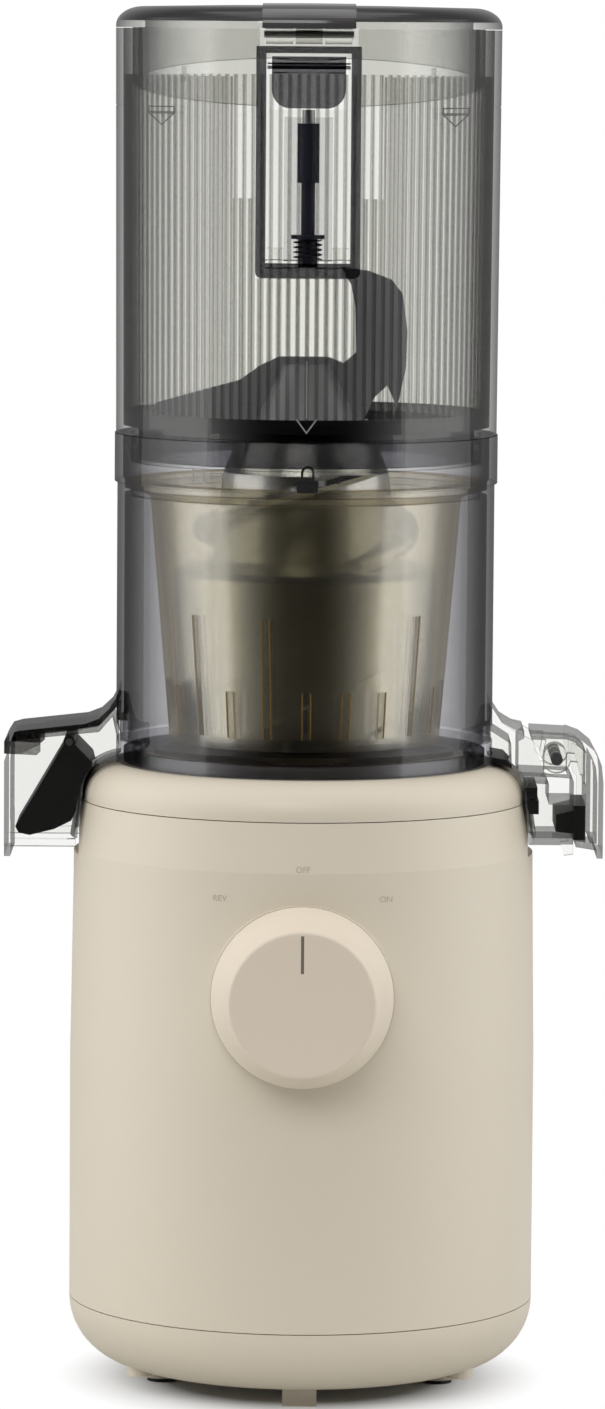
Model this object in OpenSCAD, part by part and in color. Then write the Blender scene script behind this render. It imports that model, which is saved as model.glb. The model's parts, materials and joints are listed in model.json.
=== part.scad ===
// Vertical slow juicer: a round motor base, a clear juicing chamber with two spouts,
// and a clear feed hopper with a hinged lid. Millimetres, +Z up, front towards -Y.
// The origin is on the drive axis, on the surface that the feet stand on.

/* [Motor base] */
// Radius of the motor base
base_r = 76; // [70:0.1:92]
// Height of the deck that the chamber stands on
base_h = 203.8; // [190:0.1:246]
// Wall of the moulded base shells
base_wall = 2.6; // [2:0.1:3.4]
// Radius of the round shoulder at the top of the base
shoulder_r = 10.5; // [8:0.5:14]
// Radius of the rounding under the base
bottom_r = 21; // [16:0.5:26]
// Height of the underside above the surface
foot_h = 6.5; // [5:0.1:9]
// Visible gap between two base shells
seam_gap = 0.3; // [0.2:0.05:0.6]
// Height of the lower seam above the surface
lower_seam_z = 27.9; // [27.6:0.1:34]
// Distance of the upper seam below the deck
upper_seam_drop = 12.2; // [11.5:0.1:15]

/* [Knob] */
// Radius of the knob at the body
knob_base_r = 29; // [24:0.5:35]
// Radius of the knob's flat face
knob_face_r = 23.6; // [18:0.5:28]
// How far the knob stands out
knob_depth = 17.2; // [10:0.1:21]
// Height of the knob's axis
knob_z = 136.4; // [120:0.1:148]
// Radius of the knob's shaft
knob_shaft_r = 3; // [2.4:0.1:4]

/* [Chamber] */
// Outer radius of the chamber's wall
chamber_r = 61.4; // [60:0.1:66]
// Height of the chamber
chamber_h = 107; // [104:0.1:128]
// Wall of the chamber
chamber_wall = 2.4; // [2:0.1:3]
// Height of the wider collar at the chamber's rim
collar_h = 15.6; // [14:0.1:19]
// How much wider the collar is than the wall
collar_step = 0.9; // [0.8:0.1:2]
// Wall of the strainer
strainer_wall = 1.5; // [1.2:0.1:1.8]
// Drop of the strainer's rim below the chamber's rim
strainer_drop = 15.4; // [14.6:0.1:17]
// Gap between the screw's flights and the strainer
flight_gap = 0.7; // [0.5:0.1:1.2]

/* [Spouts] */
// How far each spout reaches past the base
spout_reach = 21.2; // [19:0.1:40]
// Width of the spouts, front to back
spout_w = 38; // [34:0.5:45]
// Wall of the spouts
spout_wall = 1.9; // [1.5:0.1:2.2]
// Radius of the juice cap's pin
cap_pin_r = 1.9; // [1.5:0.1:2.4]

/* [Hopper] */
// Height of the hopper's clear wall
hopper_h = 130.6; // [109:0.1:157]
// Outer radius at the hopper's rim
hopper_rim_r = 62.5; // [61:0.1:66]
// Outer radius at the hopper's foot
hopper_foot_r = 61.9; // [60:0.1:65]
// Wall of the hopper
hopper_wall = 2.4; // [2:0.1:3]
// Width of the slot in the hopper's front that the lid's tongue closes
slot_w = 28.4; // [24:0.2:34]
// Height of the slot, from the rim down
slot_h = 76; // [72:0.1:84]

/* [Lid] */
// Height of the lid above the hopper's rim
lid_h = 7.5; // [6.8:0.1:10]
// Height of the lid's rounded edge
lid_edge_r = 6; // [4:0.1:6]
// Width of the lid's rounded edge, seen from above
lid_edge_w = 9; // [6:0.1:12]
// How much the lid's top rises from its edge to its middle
lid_dome = 0.7; // [0.2:0.1:0.8]
// Width of the raised strip across the lid
strip_w = 29.6; // [26:0.1:34]
// How far the strip stands up
strip_rise = 0.6; // [0.4:0.1:1]
// Travel of the interlock rod
rod_travel = 3; // [2:0.1:3.5]
// Radius of the interlock rod
rod_r = 3.1; // [2.6:0.1:3.6]

/* [Drive] */
// Distance between the two gear shafts
gear_centres = 36; // [34:0.5:38]
// Teeth on the motor pinion
pinion_teeth = 12; // [12:1:14]
// Teeth on the first wheel
wheel_teeth = 60; // [54:1:64]
// Teeth on the second pinion
second_teeth = 14; // [12:1:16]
// Teeth on the output gear
output_teeth = 56; // [48:1:60]
// Radius of the output shaft
shaft_r = 6; // [5:0.1:7]
// Radius of the motor's can
motor_r = 34; // [30:0.5:38]
// Height of the motor's can
motor_h = 66; // [56:1:70]

/* [Cord inlet] */
// Radius of the cord's hole in the inlet
cord_r = 3.4; // [3:0.1:4]
// Height of the cord inlet
cord_z = 46; // [42:1:56]

/* [Fits] */
// Radial clearance of turning fits
run_gap = 0.05; // [0.03:0.01:0.09]
// Clearance between bodies that slide past each other
slide_gap = 0.3; // [0.2:0.05:0.5]

/* [Hidden] */
$fn = 96;
cut = 0.5;            // how far a cutting solid runs past the face that it opens
smoke = [0.30, 0.30, 0.31, 0.45];

// Places along the drive axis
lower_seam = lower_seam_z;
upper_seam = base_h - upper_seam_drop;
chamber_z = base_h + 0.2;
chamber_top = chamber_z + chamber_h;
chamber_floor = chamber_z + 4.2;
hopper_z = chamber_top + 0.2;
hopper_top = hopper_z + hopper_h;
lid_z = hopper_top + 0.2;
lid_top = lid_z + lid_h;

// Radii that follow from the driving sizes
shell_in = base_r - base_wall;
neck_r = base_r - 3.6;
deck_r = neck_r - shoulder_r;
chamber_in = chamber_r - chamber_wall;
collar_r = chamber_r + collar_step;
collar_in = chamber_in + 0.6;
spigot_r = collar_in - 2;
hopper_in = hopper_foot_r - hopper_wall;
rim_in = hopper_rim_r - hopper_wall;
skirt_r = rim_in - 3;
side_flat = neck_r + 0.6;

// ---- Helpers ----------------------------------------------------------------

// A cylinder from z to z + h about the Z axis
module disc(r, z, h) { translate([0, 0, z]) cylinder(r = r, h = h); }

// A round tube from z to z + h
module ring(r_out, r_in, z, h) {
    difference() {
        disc(r_out, z, h);
        disc(r_in, z - cut, h + 2 * cut);
    }
}

// A cylinder along -Y, starting at y and reaching len towards the front
module front_rod(r, y, len, z) {
    translate([0, y, z]) rotate([90, 0, 0]) cylinder(r = r, h = len);
}

// A cylinder along Y, centred on y = 0
module cross_rod(r, w, x, z) {
    translate([x, 0, z]) rotate([90, 0, 0]) cylinder(r = r, h = w, center = true);
}

// An outline in the XZ plane, extruded to width w about y = 0
module slab(points, w) {
    rotate([90, 0, 0]) linear_extrude(height = w, center = true) polygon(points);
}

// A box given by its low corner and its size
module block(p, s) { translate(p) cube(s); }

// Copies at equal angles about the Z axis
module around(n, from = 0) {
    for (i = [0 : n - 1]) rotate([0, 0, from + i * 360 / n]) children();
}

// Copies on the left and the right
module both_sides() {
    children();
    mirror([1, 0, 0]) children();
}

// The part of a revolved wall that lies in front, between two heights and within a width
module front_patch(w, z0, z1) {
    intersection() {
        children();
        block([-w / 2, -base_r - 20, z0], [w, base_r + 20, z1 - z0]);
    }
}

function at(r, a) = [r * cos(a), r * sin(a)];

// ---- Base shells ------------------------------------------------------------

// Outline of the base between the seams, from the axis outwards, grown by g
module base_side(g, z0, z1) {
    mid = (lower_seam + upper_seam) / 2;
    grip = upper_seam - 16;
    polygon([[0, z0], [base_r + g, z0], [base_r + g, mid], [base_r - 1 + g, grip],
             [neck_r + 0.1 + g, z1], [0, z1]]);
}

// The rounded bottom, from the underside up to z1, grown by g
module base_bottom(g, z1) {
    turn = base_r - bottom_r;
    mid_z = foot_h + bottom_r;
    square([turn, z1]);
    translate([0, mid_z]) square([base_r + g, z1 - mid_z]);
    translate([turn, mid_z]) intersection() {
        circle(bottom_r + g);
        translate([0, -bottom_r - g]) square([bottom_r + g, bottom_r + g]);
    }
    square([turn, mid_z]);
}

// The deck with its round shoulder, from z0 up, grown by g
module base_deck(g, z0) {
    mid_z = base_h - shoulder_r;
    translate([0, z0]) square([neck_r + g, mid_z - z0]);
    square_top = base_h + g - mid_z;
    translate([0, mid_z]) square([deck_r, square_top]);
    translate([deck_r, mid_z]) intersection() {
        circle(shoulder_r + g);
        square([shoulder_r + g, shoulder_r + g]);
    }
}

// Flat landings on both sides of the base, where the spouts hang
module side_landings(g) {
    landing_z = upper_seam - 17;
    both_sides() block([side_flat + g, -30, landing_z], [20, 60, 60]);
}

screw_at = [52, 34];                  // the four posts for the housing screws
boss_r = 4.2;
screw_hole_r = 1.5;
post_z = 64;

module corner_posts() {
    for (sx = [-1, 1], sy = [-1, 1]) translate([sx * screw_at[0], sy * screw_at[1], 0]) children();
}

pad_y = -(base_r + 0.3);              // front plane of the knob's round platform
pad_in = pad_y + base_wall;
inlet_neck_r = cord_r + 3;

module body_shell() {
    z0 = lower_seam + seam_gap / 2;
    z1 = upper_seam - seam_gap / 2;
    color([0.84, 0.80, 0.73]) difference() {
        union() {
            difference() {
                rotate_extrude() base_side(0, z0, z1);
                rotate_extrude() difference() {
                    base_side(-base_wall, z0 - cut, z1 + cut);
                    translate([-1, 0]) square([1, z1 + 2]);
                }
            }
            front_rod(knob_base_r + 0.3, -base_r + 12, -pad_y + (-base_r + 12), knob_z);
            corner_posts() disc(boss_r, lower_seam + 12, post_z - lower_seam - 12);
            for (sx = [-1, 1], sy = [-1, 1]) {
                reach = sqrt(pow(shell_in, 2) - pow(screw_at[1], 2)) - screw_at[0] + 1;
                block([sx > 0 ? screw_at[0] : -screw_at[0] - reach, sy * screw_at[1] - 1.2, lower_seam + 12],
                      [reach, 2.4, post_z - lower_seam - 12]);
            }
        }
        front_rod(knob_base_r + 0.3 - base_wall, -base_r + 16, -pad_in + (-base_r + 16), knob_z);
        front_rod(knob_shaft_r + 1, -base_r + 16, 40, knob_z);
        corner_posts() disc(screw_hole_r, lower_seam, 30);
        translate([0, base_r + 5, cord_z]) rotate([90, 0, 0]) cylinder(r = inlet_neck_r + run_gap, h = 20);
        side_landings(0);
    }
}

hub_r = 15;                            // raised hub round the drive shaft
hub_h = 3.4;
seal_r = shaft_r + 3;
locate_r = 52;                         // ring that centres the chamber
locate_h = 3;
hanger_at = 53;                        // the four bosses that carry the gearbox
hanger_angles = [-24, 24, 156, 204];
plates_y = 10;
upper_plate_z = 140;
plate_t = 3;
hanger_r = 5;

module hanger_posts() {
    for (a = hanger_angles) translate([hanger_at * cos(a), plates_y + hanger_at * sin(a), 0]) children();
}

module top_cover() {
    z0 = upper_seam + seam_gap / 2;
    deck_t = 3;
    color([0.84, 0.80, 0.73]) difference() {
        union() {
            difference() {
                rotate_extrude() base_deck(0, z0);
                disc(neck_r - base_wall, z0 - cut, base_h - deck_t - shoulder_r + 3 - z0 + cut);
                disc(deck_r + 1, z0, base_h - deck_t - z0);
            }
            ring(neck_r - base_wall - 0.3, neck_r - 2 * base_wall, upper_seam - 6, 8);
            ring(neck_r - 1, neck_r - 2 * base_wall, z0, 2.4);
            disc(hub_r, base_h - deck_t, deck_t + hub_h);
            ring(locate_r, locate_r - 3, base_h - deck_t, deck_t + locate_h);
            hanger_posts() disc(hanger_r, upper_plate_z + plate_t, base_h - deck_t + 1 - upper_plate_z - plate_t);
            ring(hub_r, seal_r + 1.2, base_h - deck_t - 9, 9);
        }
        disc(seal_r, base_h - deck_t - 10, deck_t + hub_h + 20);
        hanger_posts() disc(screw_hole_r, upper_plate_z, 16);
        side_landings(0);
    }
}

foot_r = base_r - 30;
pad_r = 5;
pad_h = 2.4;
foot_angles = [-12, 192, 54, 126];
vent_r = 33;

module feet() {
    for (a = foot_angles) rotate([0, 0, a]) translate([foot_r, 0, 0]) children();
}

module bottom_cap() {
    z1 = lower_seam - seam_gap / 2;
    color([0.84, 0.80, 0.73]) difference() {
        union() {
            difference() {
                rotate_extrude() difference() {
                    base_bottom(0, z1);
                    translate([-1, -1]) square([200, foot_h + 1]);
                }
                rotate_extrude() difference() {
                    base_bottom(-base_wall, z1 + cut);
                    translate([-1, -1]) square([200, foot_h + base_wall + 1]);
                }
            }
            ring(shell_in - 0.45, shell_in - 0.45 - 2, z1 - 6, 10);
            feet() disc(pad_r + 1.2, pad_h - 1, foot_h - pad_h + 2);
            block([-5.5, -foot_r - 6, 0], [11, 12, foot_h + 1]);
            corner_posts() disc(boss_r, foot_h, lower_seam + 12 - foot_h);
        }
        feet() disc(pad_r, -1, pad_h + 1);
        corner_posts() disc(screw_hole_r + 0.3, 0, 60);
        corner_posts() disc(3.4, 0, foot_h + 6);
        for (i = [-4 : 4]) block([i * 6 - 1.5, -16, foot_h - cut], [3, 32, base_wall + 2 * cut]);
    }
}

module foot_pads() {
    color([0.10, 0.10, 0.10]) feet() disc(pad_r - 0.02, 0, pad_h);
}

module housing_screws() {
    color("silver") {
        corner_posts() {
            disc(screw_hole_r - 0.02, foot_h + 6, lower_seam + 26 - foot_h - 6);
            disc(3, foot_h + 3, 3);
        }
        hanger_posts() {
            disc(screw_hole_r - 0.02, lower_plate_z - 1, upper_plate_z + 14 - lower_plate_z);
            disc(3, lower_plate_z - 2.6, 2.6);
        }
    }
}

inlet_out = 13.6;                      // how far the cord inlet stands out of the back
module cord_inlet() {
    back = base_r;
    color([0.12, 0.12, 0.12]) translate([0, back + inlet_out, cord_z]) rotate([90, 0, 0]) difference() {
        union() {
            cylinder(r = inlet_neck_r - 0.5, h = inlet_out + base_wall + 5);
            translate([0, 0, inlet_out - 2.5]) cylinder(r = inlet_neck_r + 3, h = 2.3);
            translate([0, 0, inlet_out + base_wall + 0.4]) cylinder(r = inlet_neck_r + 2, h = 2);
        }
        translate([0, 0, -1]) cylinder(r = cord_r, h = inlet_out + base_wall + 10);
    }
}

module deck_seal() {
    color([0.12, 0.12, 0.12]) ring(seal_r - 0.02, shaft_r + 0.25, base_h - 4, 4 + hub_h - 1);
}

// ---- Electrics --------------------------------------------------------------

board_y = -(base_r - 14);
module control_board() {
    color([0.10, 0.35, 0.20]) block([-27, board_y, 42], [54, 1.6, 56]);
}

module board_parts() {
    y = board_y + 1.6;
    color([0.20, 0.20, 0.22]) {
        block([-22, y, 74], [18, 12, 16]);
        block([4, y, 76], [14, 10, 14]);
        translate([-14, y, 58]) rotate([-90, 0, 0]) cylinder(r = 5.5, h = 13);
        translate([2, y, 58]) rotate([-90, 0, 0]) cylinder(r = 5.5, h = 13);
        block([12, y, 48], [12, 8, 16]);
    }
}

switch_depth = 17;
module rotary_switch() {
    y = pad_in + 0.2;
    color([0.22, 0.22, 0.24]) difference() {
        union() {
            block([-13, y, knob_z - 13], [26, switch_depth, 26]);
            for (i = [-1, 0, 1]) block([i * 7 - 0.8, y + switch_depth - 1, knob_z - 19], [1.6, 1.4, 8]);
        }
        front_rod(knob_shaft_r + run_gap, y + switch_depth - 2, switch_depth + 10, knob_z);
    }
}

// ---- Gears ------------------------------------------------------------------

first_module = 2 * gear_centres / (pinion_teeth + wheel_teeth);
second_module = 2 * gear_centres / (second_teeth + output_teeth);
pressure_angle = 20;
tooth_play = 0.10;                     // thinning of each tooth's flank, in modules

function roll(r, base) = sqrt(max(0, pow(r / base, 2) - 1)) * 180 / PI - acos(min(1, base / r));
function half_tooth(r, teeth, m) =
    let (base = m * teeth / 2 * cos(pressure_angle), pitch = m * teeth / 2)
    90 / teeth - tooth_play * 180 / PI * m / 2 / pitch + roll(pitch, base) - roll(max(r, base), base);

// Outline of one involute gear, with a tooth centred on the +Y direction if turn is 0
function gear_points(teeth, m, head, foot, turn) =
    let (pitch = m * teeth / 2, base = pitch * cos(pressure_angle), root = pitch - foot * m,
         tip = pitch + head * m, low = max(root, base), steps = 3)
    [for (i = [0 : teeth - 1]) let (a = 90 + turn + i * 360 / teeth) each concat(
        [at(root, a - half_tooth(low, teeth, m))],
        [for (k = [root < base ? 0 : 1 : steps]) let (r = low + (tip - low) * k / steps) at(r, a - half_tooth(r, teeth, m))],
        [for (k = [steps : -1 : root < base ? 0 : 1]) let (r = low + (tip - low) * k / steps) at(r, a + half_tooth(r, teeth, m))],
        [at(root, a + half_tooth(low, teeth, m))]
    )];

module gear(teeth, m, head, foot, turn, z, h) {
    translate([0, 0, z]) linear_extrude(height = h) polygon(gear_points(teeth, m, head, foot, turn));
}

lower_plate_z = 112;
pinion_z = lower_plate_z + plate_t + 2;
pinion_h = 8;
wheel_h = 6;
wheel_z = pinion_z + 1;
second_z = wheel_z + wheel_h;
second_h = upper_plate_z - 2 - second_z;
output_z = pinion_z + pinion_h + 2;
output_h = 8;
idler_r = 3;
rotor_shaft_r = 3;

module motor_pinion() {
    color([0.75, 0.65, 0.35]) difference() {
        gear(pinion_teeth, first_module, 0.95, 1.05, 0, pinion_z, pinion_h);
        disc(rotor_shaft_r, pinion_z - cut, pinion_h + 2 * cut);
    }
}

module idler_wheel() {
    color([0.93, 0.93, 0.90]) translate([0, gear_centres, 0]) difference() {
        gear(wheel_teeth, first_module, 0.74, 1.2, (wheel_teeth % 2 == 0 ? 0.5 : 0) * 360 / wheel_teeth, wheel_z, wheel_h);
        disc(idler_r + 2, wheel_z - cut, wheel_h + 2 * cut);
        around(6) translate([second_module * second_teeth / 2 + 10, 0, wheel_z - cut]) cylinder(r = 4, h = wheel_h + 2 * cut);
    }
}

module idler_pinion() {
    color([0.70, 0.70, 0.72]) translate([0, gear_centres, 0]) difference() {
        union() {
            gear(second_teeth, second_module, 0.9, 1.05, (second_teeth % 2 == 0 ? 0.5 : 0) * 360 / second_teeth, second_z + 0.1, second_h);
            disc(idler_r + 1.98, wheel_z, wheel_h + 0.1);
        }
        disc(idler_r, wheel_z - cut, 40);
    }
}

module output_gear() {
    color([0.93, 0.93, 0.90]) difference() {
        gear(output_teeth, second_module, 0.74, 1.2, 0, output_z, output_h);
        disc(shaft_r, output_z - cut, output_h + 2 * cut);
        around(6) translate([17, 0, output_z - cut]) cylinder(r = 4.5, h = output_h + 2 * cut);
    }
}

idler_shaft_z0 = lower_plate_z + 0.4;
module idler_shaft() {
    color("silver") translate([0, gear_centres, 0])
        disc(idler_r - 0.01, idler_shaft_z0, upper_plate_z + plate_t - 0.4 - idler_shaft_z0);
}

module idler_bushes() {
    color([0.75, 0.6, 0.3]) translate([0, gear_centres, 0]) {
        ring(5.5, idler_r + run_gap, lower_plate_z, plate_t + 0.8);
        ring(5.5, idler_r + run_gap, upper_plate_z - 0.8, plate_t + 0.8);
    }
}

plate_r = 59;
module plate(z) {
    difference() {
        translate([0, plates_y, 0]) disc(plate_r, z, plate_t);
        translate([0, gear_centres, 0]) disc(5.52, z - cut, plate_t + 2 * cut);
        hanger_posts() disc(2, z - cut, plate_t + 2 * cut);
        children();
    }
}

module lower_plate() {
    color([0.70, 0.71, 0.73]) plate(lower_plate_z) {
        disc(8, lower_plate_z - cut, plate_t + 2 * cut);
        around(4, 45) translate([24, 0, lower_plate_z - cut]) cylinder(r = 2.2, h = plate_t + 2 * cut);
    }
}

module upper_plate() {
    color([0.70, 0.71, 0.73]) plate(upper_plate_z) disc(13.02, upper_plate_z - cut, plate_t + 2 * cut);
}

module plate_spacers() {
    color("silver") hanger_posts() ring(4, 2.1, lower_plate_z + plate_t, upper_plate_z - lower_plate_z - plate_t);
}

bearing_h = 7;
module output_bearings() {
    color("silver") {
        ring(13, shaft_r + run_gap, upper_plate_z - 1, bearing_h);
        ring(13, shaft_r + run_gap, upper_plate_z + 14, bearing_h);
        ring(14.6, 13, upper_plate_z + plate_t, 11 + bearing_h);
    }
}

shaft_top = base_h + 25;
hex_z = base_h + hub_h + 1;
hex_af = 2 * shaft_r - 1;
module drive_shaft() {
    color("silver") {
        disc(shaft_r - 0.01, output_z, hex_z - output_z);
        disc(shaft_r + 1.5, upper_plate_z - 2.5, 1);
        translate([0, 0, hex_z]) cylinder(r = hex_af / 2 / cos(30), h = shaft_top - hex_z, $fn = 6);
    }
}

// ---- Motor ------------------------------------------------------------------

motor_z = lower_plate_z - motor_h;
can_wall = 1.6;
core_r = 14.5;
end_boss_r = 9;
module motor_can() {
    color([0.55, 0.56, 0.58]) difference() {
        union() {
            disc(motor_r, motor_z, motor_h);
            disc(end_boss_r + 2, motor_z - 4, 5);
        }
        disc(motor_r - can_wall, motor_z + can_wall, 8);
        disc(core_r + 0.6, motor_z + can_wall, motor_h - can_wall - 6);
        disc(motor_r - can_wall, motor_z + motor_h - 14, 8);
        disc(end_boss_r, motor_z - 4 - cut, 8);
        disc(end_boss_r, motor_z + motor_h - 7, 8);
        around(4, 45) translate([24, 0, motor_z + motor_h - 5]) cylinder(r = 1.5, h = 8);
        around(8) translate([motor_r - 6, 0, motor_z - cut]) cylinder(r = 3, h = 4);
    }
}

module motor_bearings() {
    color("silver") {
        ring(end_boss_r - 0.01, rotor_shaft_r + run_gap, motor_z - 4, 5);
        ring(end_boss_r - 0.01, rotor_shaft_r + run_gap, motor_z + motor_h - 5.5, 5);
    }
}

module motor_screws() {
    color("silver") around(4, 45) translate([24, 0, 0]) {
        disc(1.48, motor_z + motor_h - 4.5, 4.5 + plate_t);
        disc(2.9, lower_plate_z + plate_t, 1.2);
    }
}

fan_z = motor_z - 13;
module rotor_shaft() {
    color("silver") disc(rotor_shaft_r - 0.01, fan_z, pinion_z + pinion_h - fan_z);
}

module rotor_core() {
    color([0.5, 0.5, 0.52]) ring(core_r, rotor_shaft_r, motor_z + 14, motor_h - 34);
}

module cooling_fan() {
    color([0.15, 0.15, 0.16]) {
        ring(8, rotor_shaft_r, fan_z, 7);
        around(9) block([7.5, -0.7, fan_z], [19, 1.4, 6]);
    }
}

// ---- Knob -------------------------------------------------------------------

knob_gap = 0.4;
knob_back = -pad_y + knob_gap;
knob_edge_r = 1.4;

// Half outline of the knob: x is the radius and y the distance from its back
module knob_profile(g) {
    flank = knob_depth - knob_edge_r;
    polygon([[0, 0], [knob_base_r - g, 0], [knob_base_r - g, 1.0], [knob_base_r - 1.2 - g, 2.6],
             [knob_base_r - 2.6 - g, 5.6], [knob_face_r + 1.3 - g, 9.4], [knob_face_r + 0.2 - g, flank],
             [knob_face_r - g, flank], [knob_face_r - knob_edge_r - g, knob_depth - g], [0, knob_depth - g]]);
    translate([knob_face_r - knob_edge_r + 0.2 - g, flank - g]) circle(knob_edge_r);
}

marker_w = 1;
marker_l = 12;
module marker_block(g, d) {
    top = knob_face_r - 1.6;
    block([-marker_w / 2 - g, -knob_back - knob_depth, knob_z + top - marker_l - g], [marker_w + 2 * g, d, marker_l + 2 * g]);
}

module knob() {
    color([0.80, 0.75, 0.68]) difference() {
        translate([0, -knob_back, knob_z]) rotate([90, 0, 0]) difference() {
            rotate_extrude() intersection() {
                knob_profile(0);
                square([100, 100]);
            }
            translate([0, 0, -1]) cylinder(r = knob_base_r - 5.5, h = 4.5);
            translate([0, 0, -1]) difference() {
                cylinder(r = knob_face_r - 3, h = knob_depth - 1.6);
                cylinder(r = 7, h = knob_depth);
            }
            translate([0, 0, -1]) cylinder(r = knob_shaft_r, h = knob_depth - 1.8);
        }
        marker_block(0, 0.6);
    }
}

module knob_marker() {
    color([0.45, 0.42, 0.38]) marker_block(-0.02, 0.45);
}

module knob_shaft() {
    color("silver") front_rod(knob_shaft_r - 0.01, pad_in + switch_depth - 2.4,
        pad_in + switch_depth - 2.4 + knob_back + knob_depth - 3.2, knob_z);
}

// ---- Chamber ----------------------------------------------------------------

sleeve_in = shaft_r + 2.2;
sleeve_out = sleeve_in + 2.2;
sleeve_top = chamber_floor + 8;
floor_t = 2.6;
strainer_top = chamber_top - strainer_drop;
ramp_z = chamber_top - 6.5;            // underside of the bayonet ramps
ramp_h = 2;

// Bayonet ramps inside the collar, or the lugs that pass under them
module bayonet(r_out, r_in, z, h, from, sweep) {
    for (i = [0 : 2]) rotate([0, 0, i * 120 + from]) translate([0, 0, z])
        rotate_extrude(angle = sweep) translate([r_in, 0]) square([r_out - r_in, h]);
}

// The space that the base needs below the chamber's spouts
module base_room(g) {
    rotate_extrude() {
        base_side(g, 100, upper_seam);
        base_deck(g, upper_seam - 1);
    }
}

duct_y = spout_w / 2 - spout_wall;

module chamber() {
    wall_top = chamber_top - collar_h;
    color(smoke) difference() {
        union() {
            ring(chamber_r, chamber_in, chamber_z, wall_top - chamber_z + 1);
            ring(collar_r, collar_in, wall_top, collar_h);
            ring(chamber_r - 0.2, chamber_in - 2.2, strainer_top - 4.4, 2.1);
            disc(chamber_in + 1, chamber_floor, floor_t);
            disc(sleeve_out, chamber_floor, sleeve_top - chamber_floor);
            ring(locate_r + 4, locate_r + 1.5, chamber_z, chamber_floor - chamber_z + 1);
            bayonet(collar_in + 1, collar_in - 1.7, ramp_z, ramp_h, 18, 26);
        }
        disc(sleeve_in, chamber_z - cut, 40);
        block([-chamber_r - 3, -duct_y + 3, chamber_floor + floor_t + 0.6], [8, 2 * duct_y - 6, 6.5]);
        block([chamber_r - 5, -9, chamber_floor + floor_t + 0.6], [8, 18, 5]);
    }
}

module chamber_gasket() {
    color([0.1, 0.1, 0.1]) ring(chamber_in - 0.02, locate_r + 4.02, chamber_z, chamber_floor - chamber_z);
}

module shaft_seal() {
    color([0.1, 0.1, 0.1]) {
        ring(sleeve_in - 0.02, shaft_r + 1.0, chamber_floor, 3);
    }
}

strainer_z = chamber_floor + floor_t + 0.2;
strainer_top_r = chamber_in - 8.4;
strainer_foot_r = chamber_in - 15;
function strainer_r(z) = strainer_foot_r + (strainer_top_r - strainer_foot_r) * (z - strainer_z) / (strainer_top - 5.4 - strainer_z);

slits = 22;
slit_w = 2.8;
short_slit = 15;
long_slit = 39;
module strainer() {
    cone_top = strainer_top - 5.4;
    foot_in = sleeve_out + 0.4;
    color([0.62, 0.45, 0.15, 0.6]) difference() {
        rotate_extrude() polygon([
            [foot_in, strainer_z], [strainer_foot_r, strainer_z], [strainer_top_r, cone_top],
            [chamber_in - 3, strainer_top - 2.2], [chamber_in - 0.4, strainer_top - 2.2], [chamber_in - 0.4, strainer_top], [strainer_top_r - 0.6, strainer_top],
            [strainer_top_r - strainer_wall, cone_top], [strainer_foot_r - strainer_wall, strainer_z + 2], [foot_in, strainer_z + 2]]);
        for (i = [0 : slits - 1]) rotate([0, 0, 270.8 + i * 360 / slits])
            block([strainer_foot_r - 6, -slit_w / 2, strainer_z + 4], [20, slit_w, i % 4 == 3 || i == slits - 1 ? long_slit : short_slit]);
    }
}

// ---- Pulp side (left) --------------------------------------------------------

reach = base_r + spout_reach;
spout_root = -chamber_r + 1.2;
roof_z = chamber_z + 11.4;             // underside of the spout roofs
mouth_z = base_h - 25;                 // lower edge of the spouts
lip_z = base_h - 30;                  // lower edge of the drip lips

module pulp_spout() {
    cheek = [[spout_root, roof_z + 8], [-chamber_r - 5.1, roof_z + 1.0], [-base_r, roof_z - 0.6], [-reach + 2.6, roof_z - 2.6],
             [-reach, roof_z - 10.5], [-reach, mouth_z - 1.6], [-base_r + 2.6, mouth_z + 1.2], [-base_r + 3.5, upper_seam], [spout_root, base_h + 1]];
    inside = [[spout_root - 2, roof_z + 4], [-chamber_r - 5.1, roof_z - 1], [-reach + 2.2, roof_z - 4], [-reach + spout_wall, roof_z - 11],
              [-reach + spout_wall, mouth_z - 20], [-chamber_r + 1.4, mouth_z - 20], [-chamber_r + 1.4, roof_z - 6]];
    color(smoke) difference() {
        union() {
            difference() {
                slab(cheek, spout_w);
                slab(inside, 2 * duct_y);
            }
            block([-reach, -spout_w / 2 + 1, lip_z], [2, spout_w - 2, 12]);
            intersection() {
                slab(cheek, 2 * duct_y + 0.4);
                base_room(1.9);
            }
            for (s = [-1, 1]) block([-reach + 1, s > 0 ? spout_w / 2 - 2.6 : -spout_w / 2 - 0.4, mouth_z - 1.6], [reach - base_r + 1, 3, 2.4]);
        }
        cross_rod(flap_rod_r + 0.01, flap_rod_len + 0.02, flap_x, flap_z);
        base_room(1);
        disc(chamber_r, base_h - 50, 150);
    }
}

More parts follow.
